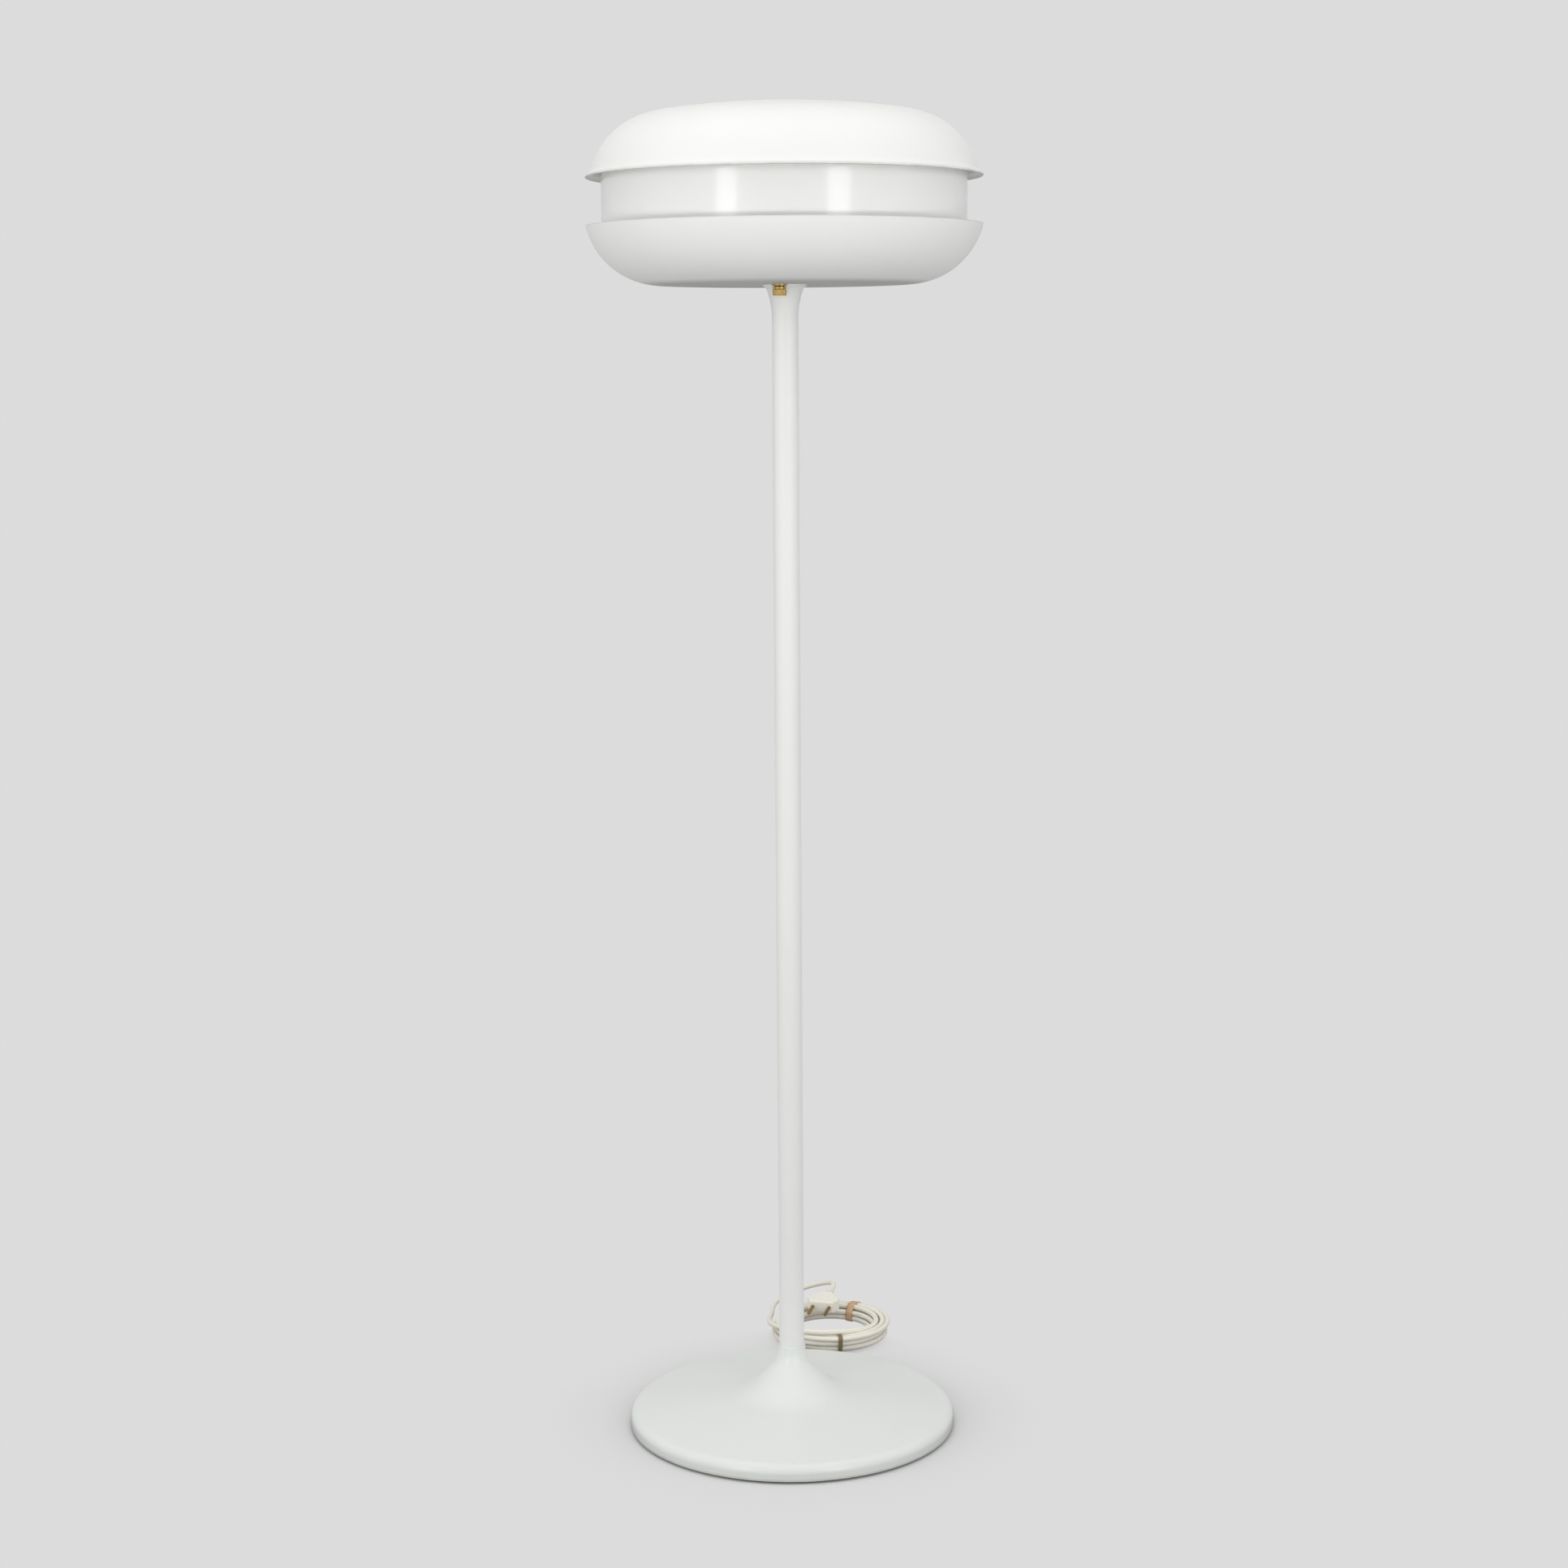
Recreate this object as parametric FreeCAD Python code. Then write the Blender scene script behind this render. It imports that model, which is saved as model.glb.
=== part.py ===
import FreeCAD, Part
import math
import os

# A floor lamp with a dome, a translucent drum and a bowl on a slim stem and a trumpet base.
# Millimetres. The origin is on the floor under the stem, +Z is up and the front is -Y.

V = FreeCAD.Vector

# ---- whole lamp ----
total_height = 1300.0
gap = 0.3  # between curved pieces that only lie beside each other
thread_gap = 0.05  # between a threaded tube and what it is screwed into

# ---- base ----
base_radius = 163.0
base_height = 78.0  # mouth of the neck
rim_height = 17.0
flare_foot_radius = 46.0
flare_foot_height = 33.0
waist_radius = 15.0
waist_height = 66.0
neck_radius = 13.6
rim_round = 9.0
dish_round = 45.0
waist_round = 22.0
base_wall = 1.5
felt_height = 2.5
felt_inset = 5.0  # from the rim's outside
felt_width = 30.0
cover_thickness = 1.2
weight_inset = 45.0
weight_post_height = 4.3
weight_boss_radius = 30.0
weight_boss_height = 10.0
nut_pocket_radius = 18.0
cover_screw_inset = 68.0
cover_screw_count = 3

# ---- stem and threaded tubes ----
stem_radius = 12.5
stem_wall = 1.5
collar_height = 3.0
collar_web = 1.5  # the floor of the collar, which the stem stands on
collar_spigot = 7.0
plug_length = 25.0
thread_radius = 5.0
thread_bore = 3.5
nut_across = 14.0
nut_height = 5.0
washer_thickness = 1.5

# ---- neck flare under the bowl ----
flare_height = 29.0
flare_wall = 1.6
flare_web = 5.0
flare_spigot = 14.0

# ---- bowl and dome ----
head_radius = 188.2
pan_wall = 1.0
pan_corner_radius = 72.0
bowl_depth = 55.6
drum_show = 45.0  # height of the drum that shows between the rims
crown_radius = 850.0
dome_side_slope = 14.7  # degrees from upright where the lip starts
lip_flare = 5.2
lip_bend_radius = 6.0
lip_slope = 40.0

# ---- drum and its lugs ----
drum_inset = 15.2  # from the rims of the pans
drum_wall = 3.0
lug_count = 3
lug_width = 26.0
lug_flank = 3.0
lug_web = 3.2
lug_grip = 6.0

# ---- hub inside the head ----
hub_radius = 26.0
hub_height = 26.0
hub_wall = 1.5
bowl_washer_radius = 17.0
spacer_radius = 8.0
hub_above_bowl = 61.0

# ---- sockets and bulbs ----
socket_count = 3
socket_first_angle = 90.0
socket_radius = 14.2
socket_length = 53.0
socket_wall = 1.2
liner_radius = 7.3
liner_wall = 0.6
cap_radius = 7.0
cap_length = 26.0
bulb_radius = 22.5
glass_wall = 0.8

# ---- switch under the bowl ----
switch_x = -5.0
switch_y = -30.0
switch_radius = 11.0
switch_height = 18.0
ring_nut_radius = 7.4
ring_nut_height = 1.6
knob_radius = 6.6
knob_height = 8.5
knob_flutes = 18
shaft_radius = 2.0
shaft_gap = 0.08

# ---- cord ----
cord_radius = 2.8
boot_angle = 91.65  # where the lead leaves the base, from +X
boot_length = 25.0
boot_root_radius = 4.6
boot_flange_radius = 4.2
boot_tip_radius = 3.6
lead_height = 8.0
lead_bend = 8.0
lead_exit = 11.4  # straight stretch beyond the boot
wire_radius = 1.1

coil_x = 44.0
coil_y = 252.0
coil_outer_radius = 67.0
coil_inner_radius = 36.5
coil_height = 17.5
coil_round = 5.0
tie_thickness = 0.8
tie_front_angle = -82.0
tie_front_width = 4.5
tie_back_angle = 62.0
tie_back_width = 8.0

plug_face = V(32.5, 270.0, 24.0)  # middle of the face that the pins stand on
plug_turn = -15.0  # degrees from pointing straight to the front
plug_dip = 5.0
plug_width = 35.0
plug_thickness = 13.0
plug_depth = 28.0
plug_sleeve_length = 20.0
pin_radius = 2.0
pin_length = 19.0
pin_spacing = 18.6
pin_root = 8.0
tail_exit = 12.4  # straight stretch beyond the plug's sleeve

# The cord's route on the floor, chosen by hand: from the boot to the coil, and from the plug to the coil.
lead_route = [(-9.0, 213.0, 5.4), (-14.0, 226.0, 3.4)]
tail_route = [
    (47.1, 342.2, 27.6),
    (40.3, 355.0, 23.6),
    (28.7, 363.7, 18.6),
    (14.5, 366.7, 13.6),
    (0.3, 363.7, 9.3),
    (-11.4, 355.2, 6.1),
    (-18.7, 342.6, 4.2),
    (-21.6, 327.9, 3.2),
    (-21.8, 311.9, 3.0),
    (-21.3, 295.5, 4.6),
    (-20.3, 279.5, 7.8),
    (-18.8, 264.8, 10.8),
]

os.makedirs("parts", exist_ok=True)


def save(name, *solids):
    """Writes one node, as one solid or as a group of separate solids."""
    shape = solids[0] if len(solids) == 1 else Part.makeCompound(list(solids))
    bad = [s for s in shape.Solids if not s.isValid()]
    print(f"{name:18s} solids {len(shape.Solids)} volume {shape.Volume:12.1f}", "INVALID" if bad else "")
    shape.exportStep(f"parts/{name}.step")


def one(shape):
    """The single solid of a shape, with faces that continue each other joined."""
    return shape.removeSplitter().Solids[0]


# ---- outlines in the radius-height plane ----

def point(r, z):
    return V(r, 0, z)


def run_edges(start, heading, moves, offset=0.0):
    """Tangent lines and arcs from a start: each move is (length, 0) or (radius, turn), all shifted left."""
    h = math.radians(heading)
    r = start[0] - offset * math.sin(h)
    z = start[1] + offset * math.cos(h)
    edges = []
    for size, turn in moves:
        if turn == 0:
            end = (r + size * math.cos(h), z + size * math.sin(h))
            edges.append(Part.LineSegment(point(r, z), point(*end)).toShape())
        else:
            side = 1 if turn > 0 else -1
            radius = size - side * offset
            centre = (r - side * radius * math.sin(h), z + side * radius * math.cos(h))
            stops = []
            for share in (0.5, 1.0):
                a = h + math.radians(turn) * share
                x, y = side * radius * math.sin(a), side * radius * math.cos(a)
                stops.append((centre[0] + x, centre[1] - y))
            end = stops[1]
            edges.append(Part.Arc(point(r, z), point(*stops[0]), point(*end)).toShape())
            h += math.radians(turn)
        r, z = end
    return edges


def moves_along(corners, rounds):
    """Start, heading and moves of a run through corners, with each inner corner rounded."""
    legs = [(b[0] - a[0], b[1] - a[1]) for a, b in zip(corners, corners[1:])]
    lengths = [math.hypot(*leg) for leg in legs]
    headings = [math.degrees(math.atan2(leg[1], leg[0])) for leg in legs]
    turns = [(b - a + 180) % 360 - 180 for a, b in zip(headings, headings[1:])]
    cuts = [radius * math.tan(math.radians(abs(turn)) / 2) for radius, turn in zip(rounds, turns)]
    moves = []
    for i, length in enumerate(lengths):
        before = cuts[i - 1] if i else 0
        after = cuts[i] if i < len(cuts) else 0
        moves.append((length - before - after, 0))
        if i < len(cuts):
            moves.append((rounds[i], turns[i]))
    return corners[0], headings[0], moves


def turned(edges, angle=360.0, first=0.0):
    """Solid made by turning a closed outline about the lamp's axis."""
    wire = Part.Wire(Part.__sortEdges__(edges))
    solid = Part.Face(wire).revolve(V(0, 0, 0), V(0, 0, 1), angle)
    solid.rotate(V(0, 0, 0), V(0, 0, 1), first)
    return solid


def join_ends(a, b):
    """Lines that close two runs at their starts and at their ends."""
    starts = [run[0].firstVertex(True).Point for run in (a, b)]
    ends = [run[-1].lastVertex(True).Point for run in (a, b)]
    return [Part.LineSegment(*pair).toShape() for pair in (starts, ends)]


def sheet(start, heading, moves, wall):
    """Sheet turned about the axis, its wall to the left of the run, or to the right if negative."""
    outer = run_edges(start, heading, moves)
    inner = run_edges(start, heading, moves, wall)
    return turned(outer + inner + join_ends(outer, inner))


def core_of(edges):
    """Everything between a run and the axis, closed by level planes at its ends."""
    start, end = edges[0].firstVertex(True).Point, edges[-1].lastVertex(True).Point
    corners = [end, V(0, 0, end.z), V(0, 0, start.z), start]
    pairs = [(a, b) for a, b in zip(corners, corners[1:]) if a.distanceToPoint(b) > 0.001]
    return turned(edges + [Part.LineSegment(a, b).toShape() for a, b in pairs])


def polygon(*corners):
    pts = [point(*c) for c in corners]
    return [Part.LineSegment(a, b).toShape() for a, b in zip(pts, pts[1:] + pts[:1])]


def rounded_box_outline(r0, z0, r1, z1, radius):
    """Rectangle in the radius-height plane with four rounded corners."""
    w = r1 - r0 - 2 * radius
    t = z1 - z0 - 2 * radius
    moves = [(w, 0), (radius, 90), (t, 0), (radius, 90), (w, 0), (radius, 90), (t, 0), (radius, 90)]
    return run_edges((r0 + radius, z0), 0, moves)


def ring(r0, r1, z0, z1):
    """Upright tube or disc about the lamp's axis."""
    body = Part.makeCylinder(r1, z1 - z0, V(0, 0, z0))
    return body if r0 <= 0 else body.cut(Part.makeCylinder(r0, z1 - z0, V(0, 0, z0)))


def hexagon(across, height, z, hole):
    """Hexagon nut about the lamp's axis."""
    radius = across / 2 / math.cos(math.radians(30))
    pts = [along(radius, a, z) for a in range(30, 391, 60)]
    body = Part.Face(Part.makePolygon(pts)).extrude(V(0, 0, height))
    return body.cut(Part.makeCylinder(hole, height, V(0, 0, z)))


def spun(shape, angle):
    copy = shape.copy()
    copy.rotate(V(0, 0, 0), V(0, 0, 1), angle)
    return copy


def outward(shape, height, angle):
    """Lays a piece built along +Z out along a radius of the lamp, at a height."""
    copy = shape.copy()
    copy.rotate(V(0, 0, 0), V(0, 1, 0), 90)
    copy.translate(V(0, 0, height))
    return spun(copy, angle)


def along(r, angle, z):
    return V(r * math.cos(math.radians(angle)), r * math.sin(math.radians(angle)), z)


# ---- tubes that follow a route ----

def route_tube(name, points, radius):
    """Round tube along straight runs joined by arcs as large as the runs allow."""
    points = [V(p) for p in points]
    runs = [b.sub(a) for a, b in zip(points, points[1:])]
    starts = [points[0]]
    pieces = []
    radii = []
    for i in range(1, len(points) - 1):
        back, ahead = runs[i - 1], runs[i]
        turn = back.getAngle(ahead)
        trim = 0.45 * min(back.Length, ahead.Length)
        radii.append(trim / math.tan(turn / 2))
        a = points[i].sub(V(back).normalize().multiply(trim))
        b = points[i].add(V(ahead).normalize().multiply(trim))
        inward = V(ahead).normalize().sub(V(back).normalize()).normalize()
        reach = radii[-1] * (1 / math.cos(turn / 2) - 1)
        middle = points[i].add(inward.multiply(reach))
        pieces.append(Part.LineSegment(starts[-1], a).toShape())
        pieces.append(Part.Arc(a, middle, b).toShape())
        starts.append(b)
    pieces.append(Part.LineSegment(starts[-1], points[-1]).toShape())
    path = Part.Wire(pieces)
    ends = Part.Wire(Part.makeCircle(radius, points[0], runs[0]))
    tube = path.makePipeShell([ends], True, False)
    share = tube.Volume / (math.pi * radius ** 2 * path.Length)
    rounded = [round(x, 1) for x in radii]
    print(f"{name:18s} length {path.Length:7.1f} radii {rounded} volume share {share:.4f}")
    return tube


# ================= base =================

base_run = moves_along(
    [
        (base_radius, felt_height),
        (base_radius, rim_height),
        (flare_foot_radius, flare_foot_height),
        (waist_radius, waist_height),
        (neck_radius, base_height),
    ],
    [rim_round, dish_round, waist_round],
)
dish_slope = (flare_foot_height - rim_height) / (base_radius - flare_foot_radius)
inner_wall_radius = base_radius - base_wall
cover_top = felt_height + cover_thickness
boot_way = along(1, boot_angle, 0)


def dish_inside(r):
    """Height of the inside of the dish at a radius."""
    return rim_height + (base_radius - r) * dish_slope - base_wall * math.hypot(1, dish_slope)


def lead_cylinder(radius, r0, r1):
    """Cylinder along the line on which the lead leaves the base."""
    return Part.makeCylinder(radius, r1 - r0, along(r0, boot_angle, lead_height), boot_way)


boot_neck_radius = boot_root_radius - 1.0
base_shell = sheet(*base_run, base_wall)
boot_hole = lead_cylinder(boot_neck_radius + thread_gap, inner_wall_radius - 6, base_radius + 4)
save("base_shell", one(base_shell.cut(boot_hole)))

weight_radius = base_radius - weight_inset
weight_bottom = cover_top + weight_post_height
weight_top = dish_inside(weight_radius) - gap
tail_bottom = lead_height + lead_bend + 0.5
nut_bottom = tail_bottom + 1.0
washer_bottom = nut_bottom + nut_height
pocket_top = washer_bottom + washer_thickness
tail_hole = thread_radius + gap
weight = ring(tail_hole, weight_radius, weight_bottom, weight_top)
weight = weight.fuse(ring(tail_hole, weight_boss_radius, weight_top, weight_top + weight_boss_height))
weight = weight.cut(ring(0, nut_pocket_radius, weight_bottom, pocket_top))
channel = 2 * cord_radius + 3.0
channel_height = lead_height + channel / 2 - weight_bottom
slot = Part.makeBox(weight_radius, channel, channel_height, V(0, -channel / 2, weight_bottom))
weight = weight.cut(spun(slot, boot_angle))
post_radius = 6.0
screw_shank = 2.0
screw_depth = 9.0
screw_head_radius = 3.8
screw_head_height = 1.6
screw_slot_width = 1.0
screw_slot_depth = 0.7
screw_step = 360 / cover_screw_count
cover_screw_circle = base_radius - cover_screw_inset
screw_spots = [
    along(cover_screw_circle, boot_angle + screw_step * (i + 0.5), 0) for i in range(cover_screw_count)
]


def at_spot(shape, spot, height):
    copy = shape.copy()
    copy.translate(V(spot.x, spot.y, height))
    return copy


post = Part.makeCylinder(post_radius, weight_post_height)
post_hole = Part.makeCylinder(screw_shank, screw_depth)
for spot in screw_spots:
    weight = weight.fuse(at_spot(post, spot, cover_top))
for spot in screw_spots:
    weight = weight.cut(at_spot(post_hole, spot, cover_top))
save("base_weight", one(weight))

cover = ring(0, inner_wall_radius - gap, felt_height, cover_top)
cover_hole = Part.makeCylinder(screw_shank + gap, cover_thickness)
screw = Part.makeCylinder(screw_head_radius, screw_head_height)
screw_slot = (2 * screw_head_radius, screw_slot_width, screw_slot_depth)
screw = screw.cut(Part.makeBox(*screw_slot, V(-screw_head_radius, -screw_slot_width / 2, 0)))
shank = Part.makeCylinder(screw_shank, screw_depth + cover_thickness - 1, V(0, 0, screw_head_height))
screw = one(screw.fuse(shank))
for spot in screw_spots:
    cover = cover.cut(at_spot(cover_hole, spot, felt_height))
save("bottom_cover", one(cover))
save("cover_screws", *[at_spot(screw, spot, felt_height - screw_head_height) for spot in screw_spots])

felt_outer_radius = base_radius - felt_inset
save("felt_ring", ring(felt_outer_radius - felt_width, felt_outer_radius, 0, felt_height))

stem_foot = base_height + collar_web
collar = ring(tail_hole, neck_radius, base_height, base_height + collar_height)
collar = collar.cut(ring(0, stem_radius + thread_gap, stem_foot, base_height + collar_height))
spigot_radius = neck_radius - base_wall - 0.2
collar = collar.fuse(ring(tail_hole, spigot_radius, base_height - collar_spigot, base_height))
collar = one(collar)
top_edges = [
    e for e in collar.Edges
    if abs(e.BoundBox.ZMin - base_height - collar_height) < 0.01 and e.BoundBox.XMax > neck_radius - 0.01
]
save("stem_collar", collar.makeFillet(0.8, top_edges))

stem_inner = stem_radius - stem_wall
plug_top = stem_foot + plug_length
save("stem_plug", ring(thread_radius + thread_gap, stem_inner - thread_gap, stem_foot, plug_top))
save("tail_tube", ring(thread_bore, thread_radius, tail_bottom, plug_top - 2))
save("base_nut", hexagon(nut_across, nut_height, nut_bottom, thread_radius + thread_gap))
save("base_washer", ring(tail_hole, nut_pocket_radius - 2, washer_bottom, pocket_top))

# the strain relief: a flange inside the wall, a neck through it and a tapered boot outside
flange_thickness = 2.5
flange_end = inner_wall_radius - 1.0
boot = lead_cylinder(boot_flange_radius, flange_end - flange_thickness, flange_end)
boot = boot.fuse(lead_cylinder(boot_neck_radius, flange_end - 1, base_radius + gap + 1))
boot_start = base_radius + gap
cone_foot = along(boot_start, boot_angle, lead_height)
boot = boot.fuse(Part.makeCone(boot_root_radius, boot_tip_radius, boot_length, cone_foot, boot_way))
groove_shares = (0.3, 0.43, 0.56, 0.69, 0.82)  # of the boot's length
groove_width = 1.2
groove_depth = 0.7
for share in groove_shares:
    at = boot_start + boot_length * share
    floor = boot_root_radius - (boot_root_radius - boot_tip_radius) * share - groove_depth
    groove = lead_cylinder(boot_root_radius + 1, at, at + groove_width)
    boot = boot.cut(groove.cut(lead_cylinder(floor, at, at + groove_width)))
boot_end = boot_start + boot_length
boot = boot.cut(lead_cylinder(cord_radius + thread_gap, inner_wall_radius - 10, boot_end + 1))
save("cord_boot", one(boot))

# ================= head: heights from the top down =================

shoulder_r = head_radius - lip_flare - pan_corner_radius * math.cos(math.radians(dome_side_slope))
crown_reach = crown_radius - pan_corner_radius
shoulder_z = total_height - crown_radius + math.sqrt(crown_reach ** 2 - shoulder_r ** 2)
crown_angle = math.degrees(math.asin(shoulder_r / crown_reach))
side_heading = 90 - dome_side_slope
bend_out = lip_bend_radius * (math.sin(math.radians(side_heading)) - math.sin(math.radians(lip_slope)))
lip_length = (lip_flare - bend_out) / math.cos(math.radians(lip_slope))
dome_moves = [
    (crown_radius, -crown_angle),
    (pan_corner_radius, crown_angle - side_heading),
    (lip_bend_radius, side_heading - lip_slope),
    (lip_length, 0),
]
dome_edges = run_edges((0, total_height), 0, dome_moves)
dome_rim_z = dome_edges[-1].lastVertex(True).Z

bowl_rim_z = dome_rim_z - drum_show
bowl_bottom = bowl_rim_z - bowl_depth
bowl_floor = bowl_bottom + pan_wall
bowl_centre_z = bowl_bottom + pan_corner_radius
bowl_tip = math.degrees(math.asin((pan_corner_radius - bowl_depth) / pan_corner_radius))
bowl_flat = head_radius - pan_corner_radius * math.cos(math.radians(bowl_tip))
bowl_moves = [(bowl_flat, 0), (pan_corner_radius, 90 - bowl_tip)]


def inside_reach(r, centre_r):
    """How far the inside of a pan's round corner is above or below its centre at a radius."""
    return math.sqrt((pan_corner_radius - pan_wall) ** 2 - (r - centre_r) ** 2)


hub_bottom = bowl_floor + hub_above_bowl
hub_floor = hub_bottom + hub_wall
hub_top = hub_bottom + hub_height
washer_top = bowl_floor + washer_thickness
nipple_hole = thread_radius + gap

bowl = sheet((0, bowl_bottom), 0, bowl_moves, pan_wall)
bowl = bowl.cut(ring(0, nipple_hole, bowl_bottom - 1, bowl_floor + 1))
bowl = bowl.cut(Part.makeCylinder(thread_radius + gap, pan_wall + 2, V(switch_x, switch_y, bowl_bottom - 1)))
save("bowl_shell", one(bowl))

save("bowl_washer", ring(nipple_hole, bowl_washer_radius, bowl_floor, washer_top))
save("hub_spacer", ring(nipple_hole, spacer_radius, washer_top, hub_bottom))

# ---- neck flare: turned sleeve with a web on top and a spigot in the stem ----
flare_bottom = bowl_bottom - flare_height
save("stem_tube", ring(stem_inner, stem_radius, stem_foot, flare_bottom))
steep, middle, mouth = 87.0, 72.0, 25.0  # slopes of the flare's outside, from level
mouth_bend = 8.0
mouth_edge = 1.2
rise = [math.cos(math.radians(a)) for a in (steep, middle, mouth)]
long_bend = (flare_height - mouth_edge - mouth_bend * (rise[2] - rise[1])) / (rise[1] - rise[0])
flare_run = ((stem_radius, flare_bottom), steep, [(long_bend, middle - steep), (mouth_bend, mouth - middle)])
flare_outer = run_edges(*flare_run)
flare_end = flare_outer[-1].lastVertex(True).Point
web_bottom = bowl_bottom - flare_web
spigot_outer = stem_inner - thread_gap
spigot_inner = spigot_outer - flare_wall
flare = core_of(flare_outer).fuse(ring(0, flare_end.x, flare_end.z, bowl_bottom))
flare = flare.fuse(ring(0, spigot_outer, flare_bottom - flare_spigot, flare_bottom))
hollow = core_of(run_edges(*flare_run, flare_wall)).common(ring(0, head_radius, flare_bottom, web_bottom))
flare = flare.cut(hollow).cut(ring(0, spigot_inner, flare_bottom - flare_spigot, flare_bottom + flare_wall))
flare = flare.cut(ring(0, thread_radius + thread_gap, web_bottom - 1, bowl_bottom + 1))
save("neck_flare", one(flare))

nipple_top = hub_floor + nut_height + 3
lead_top = nipple_top + 1
save("neck_nipple", ring(thread_bore, thread_radius, web_bottom, nipple_top))
save("hub_nut", hexagon(nut_across, nut_height, hub_floor, thread_radius + thread_gap))

# ---- hub box with its lid ----
socket_height = hub_bottom + hub_height / 2
socket_angles = [socket_first_angle + 360 / socket_count * i for i in range(socket_count)]
hub = ring(0, hub_radius, hub_bottom, hub_top).cut(ring(0, hub_radius - hub_wall, hub_floor, hub_top))
hub = hub.cut(ring(0, nipple_hole, hub_bottom - 1, hub_floor + 1))
wire_hole = (switch_x, switch_y * 0.65)
hub = hub.cut(Part.makeCylinder(3.6, hub_wall + 2, V(wire_hole[0], wire_hole[1], hub_bottom - 1)))
nipple_reach = Part.makeCylinder(thread_radius + gap, 8, V(0, 0, hub_radius - 5))
for angle in socket_angles:
    hub = hub.cut(outward(nipple_reach, socket_height, angle))
lid_thickness = 1.2
skirt_height = 5.0
skirt_outer = hub_radius - hub_wall - 0.1
lid = ring(0, hub_radius, hub_top, hub_top + lid_thickness)
lid = lid.fuse(ring(skirt_outer - 1.2, skirt_outer, hub_top - skirt_height, hub_top))
lid_screws = []
lid_screw_z = hub_top - skirt_height / 2
lid_screw_radius = 1.8
for angle in (0.0, 180.0):
    hole = outward(Part.makeCylinder(lid_screw_radius, 6, V(0, 0, hub_radius - 4)), lid_screw_z, angle)
    hub = hub.cut(hole)
    lid = lid.cut(hole)
    screw = Part.makeCylinder(lid_screw_radius - gap, 4.5, V(0, 0, hub_radius - 4))
    screw = screw.fuse(Part.makeCylinder(2.8, 1.6, V(0, 0, hub_radius + 0.2)))
    lid_screws.append(one(outward(screw, lid_screw_z, angle)))
save("hub_box", one(hub))
save("hub_lid", one(lid))
save("lid_screws", *lid_screws)

block_size = (9.0, 22.0, 6.0)
block_x = nut_across / 2 + 2.5
save("terminal_block", Part.makeBox(*block_size, V(block_x, -block_size[1] / 2, hub_floor)))

# ---- sockets, built along +Z and laid out along their radii ----
shell_start = hub_radius + 0.4
shell_end = shell_start + socket_length
core_start = shell_start + 15
liner_outer = liner_radius + liner_wall
liner_end = shell_end - 2
contact_top = core_start + 5
cap_foot = contact_top + 0.1
cap_end = cap_foot + cap_length + 4
shell = ring(0, socket_radius, shell_start, shell_end)
shell = shell.cut(ring(0, socket_radius - socket_wall, shell_start + 2.5, shell_end))
shell = shell.cut(ring(0, thread_radius + thread_gap, shell_start, shell_start + 3))
core = ring(0, socket_radius - socket_wall - 0.1, core_start, shell_end - 1)
core = core.cut(ring(0, liner_outer + 0.02, core_start + 4, shell_end))
core = core.cut(ring(0, 2.6, core_start, core_start + 4))
liner = ring(liner_radius, liner_outer, core_start + 6, liner_end)
contact = ring(0, 2.5, core_start, contact_top)
nipple = ring(thread_bore, thread_radius, hub_radius - 5, shell_start + 4)
save("socket_nipples", *[outward(nipple, socket_height, angle) for angle in socket_angles])

glass_centre = cap_end + bulb_radius * 1.45
throat = cap_radius - 0.2


def bulb_outline(shrink):
    """Edges of a bulb's outside or inside, from its throat to its tip."""
    ball = bulb_radius - shrink
    start = V(throat - shrink, 0, cap_end)
    joint = V(ball * math.cos(math.radians(-38)), 0, glass_centre + ball * math.sin(math.radians(-38)))
    mid = V(throat - shrink + 2.2, 0, cap_end + (glass_centre - cap_end) * 0.28)
    tip = V(0, 0, glass_centre + ball)
    over = V(ball * math.cos(math.radians(30)), 0, glass_centre + ball * math.sin(math.radians(30)))
    return [Part.Arc(start, mid, joint).toShape(), Part.Arc(joint, over, tip).toShape()]


outside, inside = bulb_outline(0), bulb_outline(glass_wall)
glass = turned(outside + inside + join_ends(outside, inside))
bulb_cap = ring(0, cap_radius, cap_foot + 4, cap_end)
bulb_cap = bulb_cap.fuse(Part.makeCone(2.4, cap_radius - 1, 4, V(0, 0, cap_foot)))
for i, angle in enumerate(socket_angles, 1):
    save(f"socket_shell_{i}", outward(one(shell), socket_height, angle))
    save(f"socket_core_{i}", outward(one(core), socket_height, angle))
    save(f"socket_liner_{i}", outward(liner, socket_height, angle))
    save(f"socket_contact_{i}", outward(contact, socket_height, angle))
    save(f"bulb_cap_{i}", outward(one(bulb_cap), socket_height, angle))
    save(f"bulb_glass_{i}", outward(glass, socket_height, angle))

# ---- switch: body inside the bowl, its threaded neck through the bowl's bottom ----
at_switch = V(switch_x, switch_y, 0)
neck_end = bowl_bottom - ring_nut_height - 0.6
shaft_depth = 9.0
shaft_hole = ring(0, shaft_radius + shaft_gap, neck_end, bowl_floor + shaft_depth)
switch = ring(0, switch_radius, bowl_floor, bowl_floor + switch_height)
switch = one(switch.fuse(ring(0, thread_radius, neck_end, bowl_floor)).cut(shaft_hole))
switch.translate(at_switch)
save("switch_body", switch)
ring_nut = ring(thread_radius + thread_gap, ring_nut_radius, bowl_bottom - ring_nut_height, bowl_bottom)
ring_nut.translate(at_switch)
save("switch_ring_nut", ring_nut)
knob_top = neck_end - 0.2
knob_foot = knob_top - knob_height
knob_round = 0.9
flat, side = (knob_radius - knob_round, 0), (knob_height - 2 * knob_round, 0)
knob = core_of(run_edges((0, knob_foot), 0, [flat, (knob_round, 90), side, (knob_round, 90), flat]))
flute_radius = 0.55
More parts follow.
